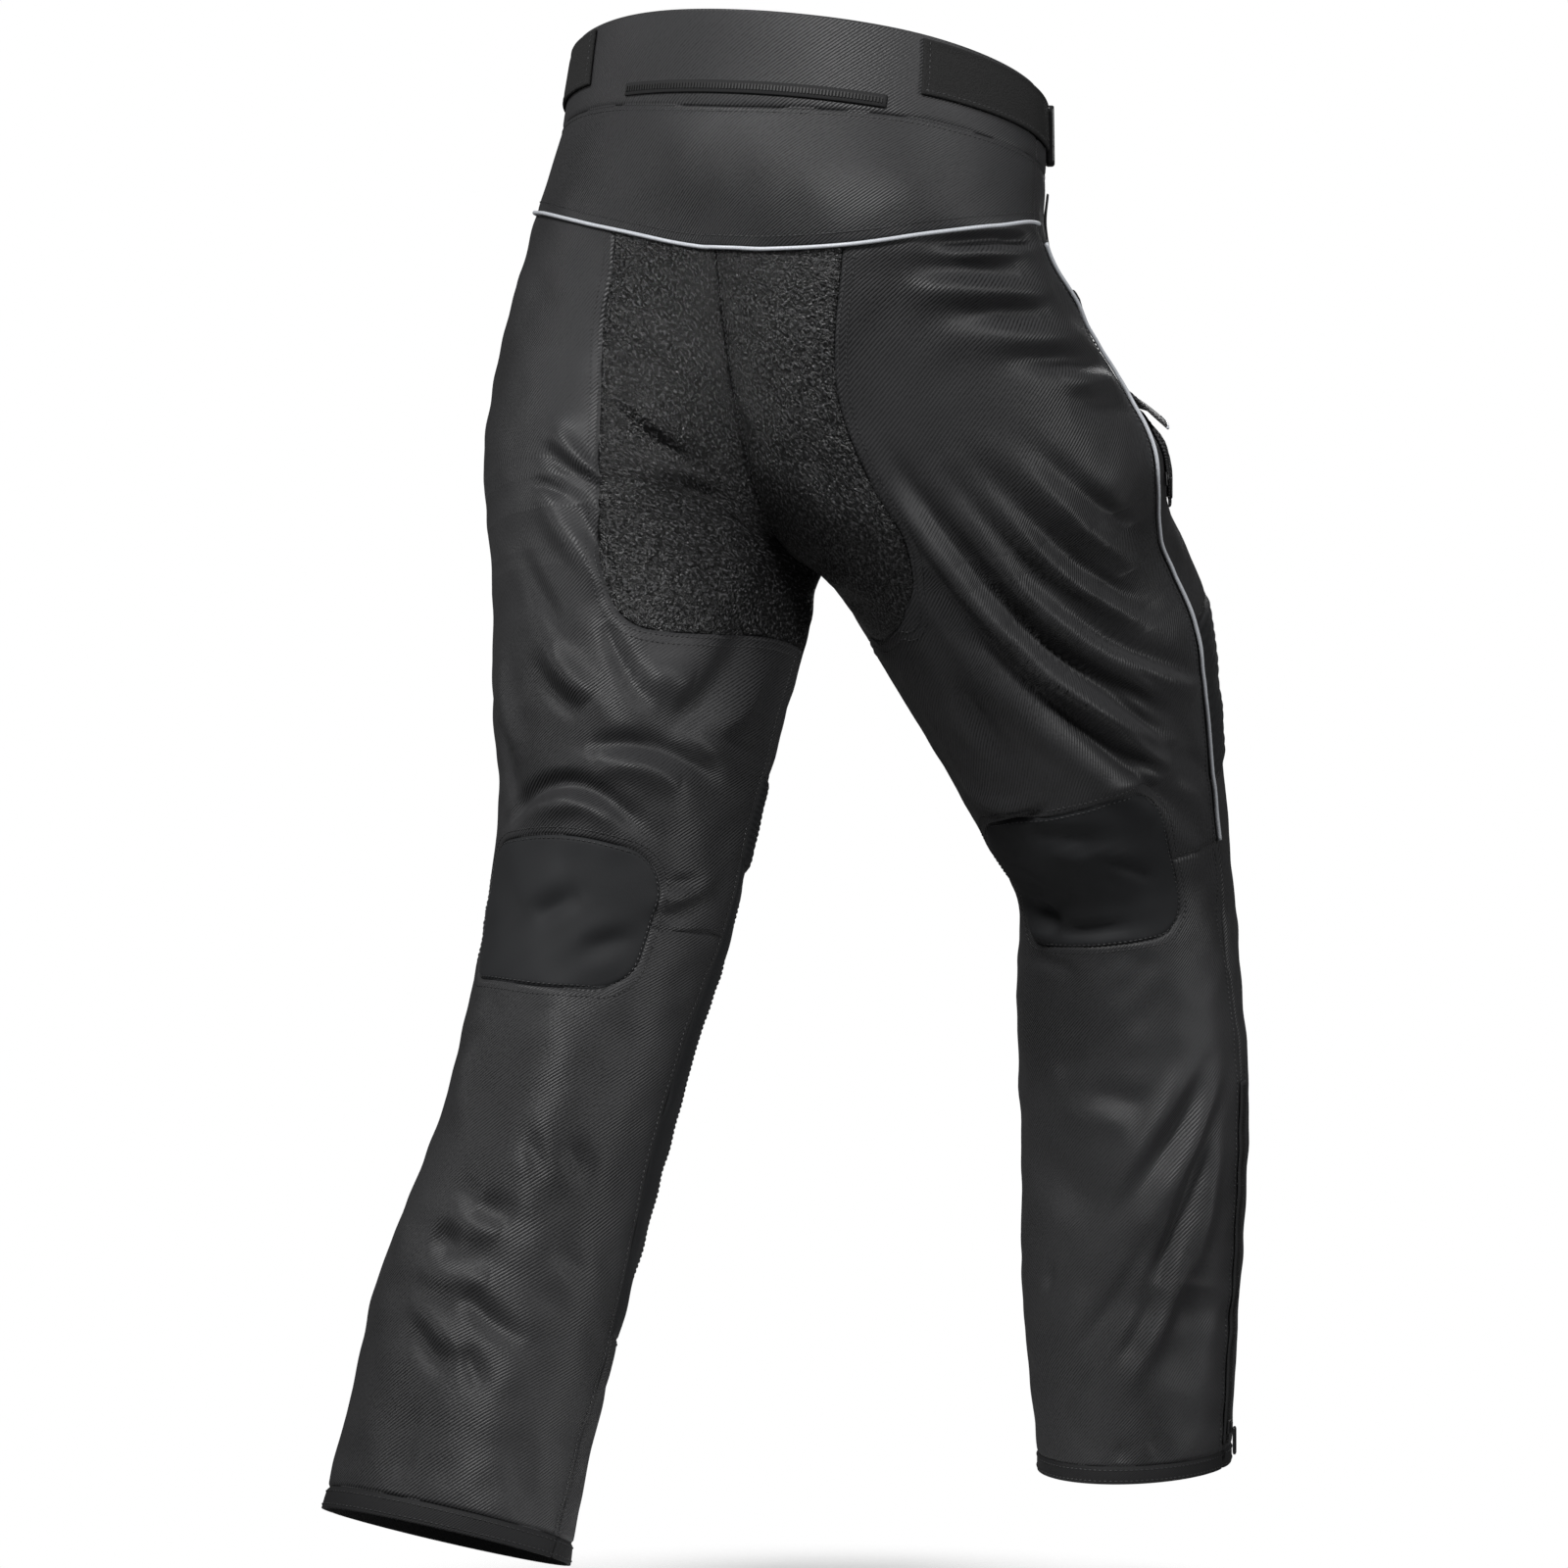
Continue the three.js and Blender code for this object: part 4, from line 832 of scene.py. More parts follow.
def woven_cloth(name, dark, light, pitch, roughness, sheen, weave_bump):
    """Twill: fine ribs on the slant, broken up by the yarn, with a slow change of shade over the panel."""
    material, tree, shader = new_material(name)
    weave = add(tree, "ShaderNodeUVMap", uv_map="weave").outputs["UV"]
    place = add(tree, "ShaderNodeTexCoord").outputs["Object"]
    twill_inputs = {"Scale": math.tau / (DIAGONAL_WAVE * pitch), "Distortion": 0.6}
    twill = texture(tree, "ShaderNodeTexWave", weave, twill_inputs, bands_direction="DIAGONAL")
    yarn = texture(tree, "ShaderNodeTexNoise", weave, {"Scale": 0.8 / pitch})
    shade = texture(tree, "ShaderNodeTexNoise", place, {"Scale": 7.0})
    mixed = multiply_add(tree, yarn.outputs["Fac"], 0.9, twill.outputs["Fac"])
    tone = multiply_add(tree, mixed, 0.55, shade.outputs["Fac"])
    tree.links.new(ramp_between(tree, tone, dark, light, 0.6, 1.4), shader.inputs["Base Color"])
    set_inputs(shader, {"Roughness": roughness, "Specular IOR Level": 0.36})
    set_inputs(shader, {"Sheen Weight": sheen, "Sheen Roughness": 0.35})
    bump_into(tree, shader, mixed, weave_bump, 0.0003)
    return material


TWILL = woven_cloth("charcoal twill", (0.003, 0.003, 0.0032), (0.046, 0.046, 0.048), 0.0018, 0.46, 0.02, 0.8)
STRETCH = woven_cloth("stretch knit", (0.012, 0.012, 0.013), (0.02, 0.021, 0.023), 0.0008, 0.7, 0.02, 0.15)
BINDING = woven_cloth("hem binding", (0.006, 0.006, 0.007), (0.016, 0.016, 0.017), 0.0014, 0.7, 0.02, 0.4)


# %% Grained leather
def grained_leather():
    """Pebbled grain with fine creases. The sparkle is partly painted: pale flecks in the colour are painted
    highlights, and tiny bump facets catch real ones.
    """
    material, tree, shader = new_material("grained seat leather")
    weave = add(tree, "ShaderNodeUVMap", uv_map="weave").outputs["UV"]
    pebble = texture(tree, "ShaderNodeTexVoronoi", weave, {"Scale": 470.0}, feature="DISTANCE_TO_EDGE")
    crease = texture(tree, "ShaderNodeTexNoise", weave, {"Scale": 430.0, "Detail": 6.0})
    height = multiply_add(tree, crease.outputs["Fac"], 1.1, pebble.outputs["Distance"])
    # Painted highlights: pale flecks in the base colour stand in for the sparkle of light on the grain.
    painted_sparkle = ramp_between(tree, crease.outputs["Fac"], (0.004, 0.004, 0.004), (0.1, 0.1, 0.104), 0.5, 0.74)
    tree.links.new(painted_sparkle, shader.inputs["Base Color"])
    set_inputs(shader, {"Roughness": 0.27, "Specular IOR Level": 0.6})
    bump_into(tree, shader, height, 1.0, 0.0016)
    return material


LEATHER = grained_leather()


# %% Hook tape, piping, tape and hard black
def plain_finish(name, colour, roughness, grain, strength, depth=0.0003):
    material, tree, shader = new_material(name)
    place = add(tree, "ShaderNodeTexCoord").outputs["Object"]
    noise = texture(tree, "ShaderNodeTexNoise", place, {"Scale": grain, "Detail": 4.0})
    darker = tuple(c * 0.72 for c in colour)
    shade = ramp_between(tree, noise.outputs["Fac"], darker, colour, 0.35, 0.65)
    tree.links.new(shade, shader.inputs["Base Color"])
    shader.inputs["Roughness"].default_value = roughness
    bump_into(tree, shader, noise.outputs["Fac"], strength, depth)
    return material


HOOK_TAPE = plain_finish("hook tape", (0.02, 0.02, 0.02), 0.95, 900.0, 1.0, 0.0012)
PIPING = plain_finish("reflective piping", (0.78, 0.81, 0.86), 0.35, 1500.0, 0.2)
ZIP_TAPE = plain_finish("zip tape", (0.016, 0.016, 0.017), 0.8, 1800.0, 0.5)
HARD_BLACK = plain_finish("moulded black", (0.02, 0.02, 0.021), 0.32, 500.0, 0.15)
THREAD = plain_finish("black thread", (0.04, 0.04, 0.042), 0.4, 2500.0, 0.6)
print("finishes:", [material.name for material in bpy.data.materials if material.users or material.use_nodes])

# %% [markdown]
# ## Cutting and sewing the panels
#
# A panel is a set of lattice cells with an outer and an inner face and a rim between them. Since all come
# from one lattice, neighbours share their edges, and the sunk seam lies exactly between them.

# %% Making a cloth wall from lattice cells
def into_scene(name, data):
    made = bpy.data.objects.new(name, data)
    bpy.context.scene.collection.objects.link(made)
    return made


def mesh_object(name, points, quads, material, weave=None):
    mesh = bpy.data.meshes.new(name)
    mesh.vertices.add(len(points))
    mesh.vertices.foreach_set("co", (np.asarray(points) * MM).astype(np.float32).ravel())
    mesh.loops.add(quads.size)
    mesh.loops.foreach_set("vertex_index", quads.ravel().astype(np.int32))
    mesh.polygons.add(len(quads))
    mesh.polygons.foreach_set("loop_start", np.arange(0, quads.size, 4, dtype=np.int32))
    if weave is not None:
        layer = mesh.uv_layers.new(name="weave")
        layer.data.foreach_set("uv", weave[quads.ravel()].astype(np.float32).ravel())
    mesh.update(calc_edges=True)
    mesh.validate()
    mesh.polygons.foreach_set("use_smooth", np.ones(len(quads), bool))
    mesh.materials.append(material)
    return into_scene(name, mesh)


def lattice_ids(leg):
    """Numbers of the lattice's corners. The two legs share those of the centre back."""
    rows, columns = len(row_place), len(column_place)
    ids = np.arange(rows * columns).reshape(rows, columns)
    if leg == "left":
        return ids
    ids = ids + rows * columns
    upper = row_start["fork"] + 1
    ids[:upper, 0] = np.arange(rows * columns).reshape(rows, columns)[:upper, 0]
    return ids


ALL_IDS = {leg: lattice_ids(leg) for leg in LEGS}
ALL = {part: np.concatenate([cloth[leg][part].reshape(-1, cloth[leg][part].shape[-1]) for leg in LEGS])
       for part in ("outer", "inner", "weave")}


def cells(leg, rows, columns, leave_out=()):
    """Cells between two seam lines and two columns, without those of the blocks in leave_out."""
    r = np.arange(row_start[rows[0]], row_start[rows[1]])
    c = np.arange(column_start[columns[0]], column_start[columns[1]])
    keep = np.ones((len(r), len(c)), bool)
    for (first_row, last_row), (first_column, last_column) in leave_out:
        hole_rows = (r >= row_start[first_row]) & (r < row_start[last_row])
        hole_columns = (c >= column_start[first_column]) & (c < column_start[last_column])
        keep &= ~(hole_rows[:, None] & hole_columns[None, :])
    rr, cc = np.meshgrid(r, c, indexing="ij")
    rr, cc = rr[keep], cc[keep]
    ids = ALL_IDS[leg]
    corners = [ids[rr, cc], ids[rr, cc + 1], ids[rr + 1, cc + 1], ids[rr + 1, cc]]
    return np.stack(corners if leg == "left" else corners[::-1], axis=1)


def closed_wall(quads, count):
    """Outer faces, inner faces and the rim quads that join them."""
    start, end = quads.ravel(), np.roll(quads, -1, axis=1).ravel()
    key, back_key = start * np.int64(count) + end, end * np.int64(count) + start
    rim = ~np.isin(key, back_key)
    start, end = start[rim], end[rim]
    rim_quads = np.stack([end, start, start + count, end + count], axis=1)
    return np.concatenate([quads, quads[:, ::-1] + count, rim_quads])


def sewn_panel(name, quads, material, outer=None, inner=None, weave=None):
    outer = ALL["outer"] if outer is None else outer
    inner = ALL["inner"] if inner is None else inner
    weave = ALL["weave"] if weave is None else weave
    used, local = np.unique(quads, return_inverse=True)
    local = local.reshape(quads.shape)
    faces = closed_wall(local, len(used))
    points = np.concatenate([outer[used], inner[used]])
    return mesh_object(name, points, faces, material, np.concatenate([weave[used], weave[used]]))


def cloth_area(quads, outer=None):
    """Area of the outer face in square metres."""
    points = (ALL["outer"] if outer is None else outer)[quads] * MM
    diagonals = np.cross(points[:, 2] - points[:, 0], points[:, 3] - points[:, 1])
    return float(np.linalg.norm(diagonals, axis=1).sum() / 2)


# %% The list of panels
SEAT_HOLE = (("yoke", "seat"), (0, SEAT_COLUMN))
PATCH_HOLE = (("patch_top", "patch_end"), (PATCH_IN, PATCH_OUT))
STRIP_HOLE = (("patch_top", "strip_end"), (STRIP_COLUMN, LAST))


# name, rows, columns, blocks left out, finish, slot, and width and length of the cut in metres
BACK_PANELS = [
    ("waistband_back", ("waist", "band"), (0, SIDE), (), TWILL, "twill", (0.5, 0.066)),
    ("yoke_back", ("band", "yoke"), (0, SIDE), (), TWILL, "twill", (0.52, 0.1)),
]
LEG_PANELS = [
    ("waistband_front", ("waist", "band"), (SIDE, LAST), (), TWILL, "twill", (0.25, 0.07)),
    ("seat", *SEAT_HOLE, (), LEATHER, "seat_leather", (0.19, 0.33)),
    ("thigh_back", ("yoke", "knee"), (0, SIDE), (SEAT_HOLE, PATCH_HOLE), TWILL, "twill", (0.42, 0.52)),
    ("knee_patch", *PATCH_HOLE, (), STRETCH, "stretch", (0.16, 0.13)),
    ("calf", ("knee", "hem_band"), (0, SIDE), (PATCH_HOLE,), TWILL, "twill", (0.28, 0.45)),
    ("thigh_front", ("band", "rib_top"), (SIDE, LAST), (), TWILL, "twill", (0.38, 0.43)),
    ("ribbed_panel", ("rib_top", "patch_top"), (SIDE, LAST), (), STRETCH, "stretch", (0.33, 0.12)),
    ("shin", ("patch_top", "hem_band"), (SIDE, LAST), (STRIP_HOLE,), TWILL, "twill", (0.28, 0.49)),
    ("inner_strip", *STRIP_HOLE, (), STRETCH, "stretch", (0.042, 0.35)),
    ("hem_band", ("hem_band", "hem"), (0, LAST), (), BINDING, "twill", (0.52, 0.016)),
]
panel_list = []
for name, rows, columns, holes, *finish in BACK_PANELS:
    both = np.concatenate([cells(leg, rows, columns, holes) for leg in LEGS])
    panel_list.append((name, both, *finish))
for leg in LEGS:
    for name, rows, columns, holes, *finish in LEG_PANELS:
        panel_list.append((f"{name}_{leg}", cells(leg, rows, columns, holes), *finish))


# %% Sewing them
def welded(quads):
    """At the hems the inseam is closed, so the last column is the first one there."""
    for leg in LEGS:
        ids = ALL_IDS[leg]
        hem_rows = slice(row_start["hem_band"], None)
        change = dict(zip(ids[hem_rows, -1].tolist(), ids[hem_rows, 0].tolist()))
        flat = quads.ravel()
        for old, new in change.items():
            flat[flat == old] = new
        quads = flat.reshape(quads.shape)
    return quads


def declare_sheet(piece, node):
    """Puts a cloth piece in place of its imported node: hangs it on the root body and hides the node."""
    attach(piece, "root")
    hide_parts(node)


made_area = 0.0
for name, quads, material, slot, flat in panel_list:
    if name.startswith("hem_band"):
        quads = welded(quads)
    piece = sewn_panel("cloth_" + name, quads, material)
    area = cloth_area(quads)
    made_area += area
    declare_sheet(piece, name)
print("cloth in the panels: %.2f square metres" % made_area)

# %% [markdown]
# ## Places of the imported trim
#
# Straps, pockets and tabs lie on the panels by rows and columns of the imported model, which are coarser than
# those used here. The same rule gives their places again, so that each new piece covers the old one.

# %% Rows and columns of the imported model
STRETCHES = [
    ("waist", "band", 2, 1), ("band", "yoke", 3, 1), ("yoke", "fork", 8, 1.8), ("fork", "seat", 3, 1),
    ("seat", "rib_top", 2, 1), ("rib_top", "patch_top", 4, 1), ("patch_top", "knee", 2, 1),
    ("knee", "patch_end", 2, 1), ("patch_end", "strip_end", 6, 1), ("strip_end", "hem_band", 5, 1),
    ("hem_band", "hem", 1, 1),
]
ROW_AT = {"waist": 0}
for upper, lower, rows, _ in STRETCHES:
    ROW_AT[lower] = ROW_AT[upper] + rows


def packed_down(leg, row, around):
    row, around = np.broadcast_arrays(np.asarray(row, float), np.asarray(around, float))
    down = np.full(row.shape, float(HEM))
    for upper, lower, rows, crowd in STRETCHES:
        t = (row - ROW_AT[upper]) / rows
        top, end = line_at(leg, upper, around), line_at(leg, lower, around)
        reached = top + (end - top) * (1 - (1 - np.clip(t, 0, 1)) ** crowd)
        down = np.where((t >= 0) & (t <= 1), reached, down)
    return down


def bisected(low, high, short):
    for _ in range(40):
        middle = (low + high) / 2
        low, high = (middle, high) if short(middle) else (low, middle)
    return low


def grid_place(leg, around, down):
    column = bisected(0, LAST, lambda c: column_around(leg, np.float64(c), np.float64(down)) < around)
    row = bisected(0, ROW_AT["hem"], lambda r: packed_down(leg, r, around) < down)
    return row, column


def place_on_grid(leg, row, column):
    row, column = np.broadcast_arrays(np.asarray(row, float), np.asarray(column, float))
    around = column / LAST
    for _ in range(6):
        down = packed_down(leg, row, around)
        around = column_around(leg, column, down)
    return around, down


def over_seams(leg, around, down, lift=0.0):
    """Points over the cloth that bridge its sunk seams, with the outward directions there."""
    around, down = np.broadcast_arrays(np.asarray(around, float), np.asarray(down, float))
    out = outward(leg, around, down)
    return form_point(leg, around, down) + out * (wear(leg, around, down) + lift)[..., None], out


# %% [markdown]
# ## Straps, pockets, flaps and tabs
#
# Each is a flat piece cut from doubled cloth, so it has a soft rolled edge and a sewn channel just inside
# it. It is laid on the panel point by point and follows the folds under it. The bellows pocket swells
# between its edges, and its flap stands off over it.

# %% Laying a piece on the cloth
LAID_LIFT, LAID_STEP, ROLL = 0.85, 4.0, 1.6
EDGE_STEPS = [0, 0.5, 1.2, 2.2, 3.4]
CHANNEL = {"inside": 3.2, "wide": 0.9, "deep": 0.45}


def edged_steps(length, step):
    """Shares of a length with fine steps near both ends."""
    ends = np.array([e for e in EDGE_STEPS if e < length / 3])
    middle = np.linspace(ends[-1], length - ends[-1], max(2, int((length - 2 * ends[-1]) / step)) + 1)[1:-1]
    return np.concatenate([ends, middle, length - ends[::-1]]) / length


def laid_piece(name, spans, material, thickness, stand):
    """spans holds leg, rows and columns of each half; two halves are joined at the centre front."""
    leg, rows, columns = spans[0]
    row_mid, column_mid = sum(rows) / 2, sum(columns) / 2
    corners = [place_on_grid(leg, r, c) for r, c in ((rows[0], column_mid), (rows[1], column_mid),
                                                    (row_mid, columns[0]), (row_mid, columns[1]))]
    tall = float(abs(corners[1][1] - corners[0][1]))
    wide = float(abs(corners[3][0] - corners[2][0]) * girth(leg, corners[2][1])) * len(spans)
    r_steps, c_steps = edged_steps(tall, LAID_STEP), edged_steps(wide, LAID_STEP)
    r, c = np.meshgrid(r_steps, c_steps, indexing="ij")
    outer, inner = np.zeros(r.shape + (3,)), np.zeros(r.shape + (3,))
    from_edge = np.minimum(np.minimum(r, 1 - r) * tall, np.minimum(c, 1 - c) * wide)
    in_roll = 1 - np.clip(from_edge / ROLL, 0, 1)
    rolled = 0.5 * thickness * (1 - np.sqrt(np.clip(1 - in_roll**2, 0, 1)))
    sunk = CHANNEL["deep"] * np.exp(-(((from_edge - CHANNEL["inside"]) / CHANNEL["wide"]) ** 2))
    off = stand(r, c) if stand else np.zeros(r.shape)
    for half, (leg, rows, columns) in enumerate(spans):
        mine = (c * len(spans) >= half) & (c * len(spans) <= half + 1)
        t = c[mine] * len(spans) - half
        around, down = place_on_grid(leg, between(*rows, r[mine]), between(*columns, t))
        base, out = over_seams(leg, around, down, LAID_LIFT)
        outer[mine] = base + out * (off + thickness - rolled - sunk)[mine][..., None]
        inner[mine] = base + out * off[mine][..., None]
    ids = np.arange(r.size).reshape(r.shape)
    quads = np.stack([ids[:-1, :-1], ids[:-1, 1:], ids[1:, 1:], ids[1:, :-1]], axis=-1).reshape(-1, 4)
    if spans[0][0] == "right":
        quads = quads[:, ::-1]
    weave = np.stack([c.ravel() * wide, -r.ravel() * tall], axis=-1) * MM
    piece = sewn_panel(name, quads, material, outer.reshape(-1, 3), inner.reshape(-1, 3), weave)
    across = np.linalg.norm(np.diff(outer, axis=1), axis=-1).sum(axis=1).mean()
    along_it = np.linalg.norm(np.diff(outer, axis=0), axis=-1).sum(axis=0).mean()
    return piece, (float(across) * MM, float(along_it) * MM), cloth_area(quads, outer.reshape(-1, 3))


# %% Straps, fly, tab, welts and pockets
STRAP = {"arounds": (0.252, 0.56), "downs": (3, 40), "thickness": 2.2}
FLY = {"reach": 1.3, "rows": (ROW_AT["band"] + 0.15, ROW_AT["band"] + 6.5), "thickness": 1.6}
TAB = {"reach": 2.4, "rows": (0.4, 1.65), "thickness": 1.8}
WELT = {"columns": (14, 14.35), "rows": (ROW_AT["band"] + 0.9, ROW_AT["yoke"] + 3), "thickness": 1.6}
HIP_TAB = {"columns": (12.85, 13.2), "rows": (ROW_AT["yoke"] + 1.1, ROW_AT["yoke"] + 1.9), "thickness": 1.8}
POCKET = {"arounds": (0.59, 0.77), "downs": (264, 352), "bulge": 7, "thickness": 2}
FLAP = {"arounds": (0.577, 0.785), "downs": (244, 283), "bulge": 10.5, "thickness": 2}


def hump(t):
    return np.sin(math.pi * np.clip(t, 0, 1)) ** 0.6


def span_of(leg, piece):
    start = grid_place(leg, piece["arounds"][0], piece["downs"][0])
    end = grid_place(leg, piece["arounds"][1], piece["downs"][1])
    return (leg, (start[0], end[0]), (start[1], end[1]))


def pocket_stand(r, c):
    return POCKET["bulge"] * hump(r) * hump(c)


def flap_stand(r, c):
    return FLAP["bulge"] * r


def both_fronts(piece):
    edge = LAST - piece["reach"]
    return [("left", piece["rows"], (edge, LAST)), ("right", piece["rows"], (LAST, edge))]


twill, hook_tape = (TWILL, "twill"), (HOOK_TAPE, "hook_tape")
laid = [("fly_flap", both_fronts(FLY), *twill, FLY["thickness"], None),
        ("waist_tab", both_fronts(TAB), *twill, TAB["thickness"], None)]
for leg in LEGS:
    welt, hip_tab = [(leg, WELT["rows"], WELT["columns"])], [(leg, HIP_TAB["rows"], HIP_TAB["columns"])]
    laid += [
        (f"adjuster_strap_{leg}", [span_of(leg, STRAP)], *hook_tape, STRAP["thickness"], None),
        (f"pocket_welt_{leg}", welt, *twill, WELT["thickness"], None),
        (f"hip_tab_{leg}", hip_tab, *hook_tape, HIP_TAB["thickness"], None),
        (f"thigh_pocket_{leg}", [span_of(leg, POCKET)], *twill, POCKET["thickness"], pocket_stand),
        (f"pocket_flap_{leg}", [span_of(leg, FLAP)], *twill, FLAP["thickness"], flap_stand),
    ]
for name, spans, material, slot, thickness, stand in laid:
    piece, flat, area = laid_piece("laid_" + name, spans, material, thickness, stand)
    declare_sheet(piece, name)
print("laid pieces:", len(laid))

# %% [markdown]
# ## Piping and zip tapes
#
# Piping is a thin cord in reflective tape, caught in a seam so that half of it shows. A zip tape is a flat
# ribbon. Both are one outline swept along a path on the cloth, with the outward direction kept up.

# %% Sweeping an outline along a path
def tube_quads(length, count):
    """Sides of a tube of length rings of count points each, closed at both ends."""
    k, s = np.meshgrid(np.arange(length - 1), np.arange(count), indexing="ij")
    a, b = k * count + s, k * count + (s + 1) % count
    sides = np.stack([a, b, b + count, a + count], axis=-1).reshape(-1, 4)
    cap = np.array([[0, s, s + 1, s + 2] for s in range(1, count - 2, 2)])
    return np.concatenate([sides, cap[:, ::-1], cap + (length - 1) * count])


def swept(name, points, outs, section, material):
    section = np.asarray(section, float)
    tangent = np.gradient(points, axis=0)
    across_path = np.cross(outs, tangent)
    across_path /= np.linalg.norm(across_path, axis=1, keepdims=True)
    rings = points[:, None] + across_path[:, None] * section[None, :, :1]
    rings = rings + outs[:, None] * section[None, :, 1:]
    quads = tube_quads(len(points), len(section))
    run = np.concatenate([[0], np.cumsum(np.linalg.norm(np.diff(points, axis=0), axis=1))])
    weave = np.stack(np.broadcast_arrays(section[None, :, 0], run[:, None]), axis=-1).reshape(-1, 2) * MM
    return mesh_object(name, rings.reshape(-1, 3), quads, material, weave)


def round_section(radius, sides, centre):
    angle = math.tau * np.arange(sides) / sides
    return np.stack([radius * np.sin(angle), centre - radius * np.cos(angle)], axis=-1)


def tape_section(width, thickness, lift=0.3):
    half, soft = width / 2, 0.5
    return [(-half, lift), (half, lift), (half, lift + 0.6 * thickness), (half - soft, lift + thickness),
            (-half + soft, lift + thickness), (-half, lift + 0.6 * thickness)]


def trim_piece(piece, slot, *nodes):
    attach(piece, "root")
    if nodes:
        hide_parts(*nodes)


def joined(halves):
    """One path across the centre, from the right half's far end to the left half's."""
    return tuple(np.concatenate([halves["right"][k][::-1], halves["left"][k][1:]]) for k in (0, 1))


# %% Piping along the yoke and the side seams
CORD = {"radius": 1.4, "sides": 12, "centre": 1.5}
FLAP_CORD = {"radius": 1.1, "sides": 10, "centre": 0.6}
YOKE_CORD_END, SIDE_CORD_TOP, FLAP_CORD_LIFT = 0.504, 123, 0.5
yoke_around = np.linspace(0, YOKE_CORD_END, 150)
half_yoke = {leg: over_seams(leg, yoke_around, line_at(leg, "yoke", yoke_around)) for leg in LEGS}
yoke_points, yoke_outs = joined(half_yoke)
cord_section = round_section(**CORD)
trim_piece(swept("piping_yoke", yoke_points, yoke_outs, cord_section, PIPING), "piping", "yoke_piping")
for leg in LEGS:
    side_down = np.linspace(SIDE_CORD_TOP, float(line_at(leg, "knee", np.float64(0.5))), 190)
    points, outs = over_seams(leg, side_at(side_down), side_down)
    side_cord = swept(f"piping_side_{leg}", points, outs, cord_section, PIPING)
    trim_piece(side_cord, "piping", f"side_piping_{leg}")
    _, flap_rows, flap_columns = span_of(leg, FLAP)
    edge_columns = np.linspace(*flap_columns, 60)
    flap_around, flap_down = place_on_grid(leg, flap_rows[1], edge_columns)
    points, outs = over_seams(leg, flap_around, flap_down, LAID_LIFT + FLAP["bulge"] + FLAP_CORD_LIFT)
    trim_piece(swept(f"piping_flap_{leg}", points, outs, round_section(**FLAP_CORD), PIPING), "piping")

# %% Zip tapes
CONNECTION_ZIP = {"left_end": 0.158, "right_end": 0.212, "down": 50, "width": 9, "thickness": 1.5}
LEG_ZIP = {"top": 712, "end": 980, "width": 10, "thickness": 1.5}


def waist_path(right_end, left_end, lift=0.0):
    ends = {"right": right_end, "left": left_end}
    down = float(CONNECTION_ZIP["down"])
    return joined({leg: over_seams(leg, np.linspace(0, ends[leg], 60), down, lift) for leg in LEGS})


zip_points, zip_outs = waist_path(CONNECTION_ZIP["right_end"], CONNECTION_ZIP["left_end"])
zip_section = tape_section(CONNECTION_ZIP["width"], CONNECTION_ZIP["thickness"])
waist_tape = swept("tape_connection", zip_points, zip_outs, zip_section, ZIP_TAPE)
trim_piece(waist_tape, "zip_tape", "connection_zip")
for leg in LEGS:
    zip_down = np.linspace(LEG_ZIP["top"], LEG_ZIP["end"], 90)
    points, outs = over_seams(leg, side_at(zip_down), zip_down)
    section = tape_section(LEG_ZIP["width"], LEG_ZIP["thickness"])
    trim_piece(swept(f"tape_leg_{leg}", points, outs, section, ZIP_TAPE), "zip_tape", f"leg_zip_{leg}")

# %% [markdown]
# ## Stitches and zip teeth
#
# Thousands of stitches follow the seams. Geometry Nodes place one small form at even steps along every
# path, turned with the path and with the cloth, and make them one mesh. Zip teeth are made by the same tree
# with a block in place of the stitch.

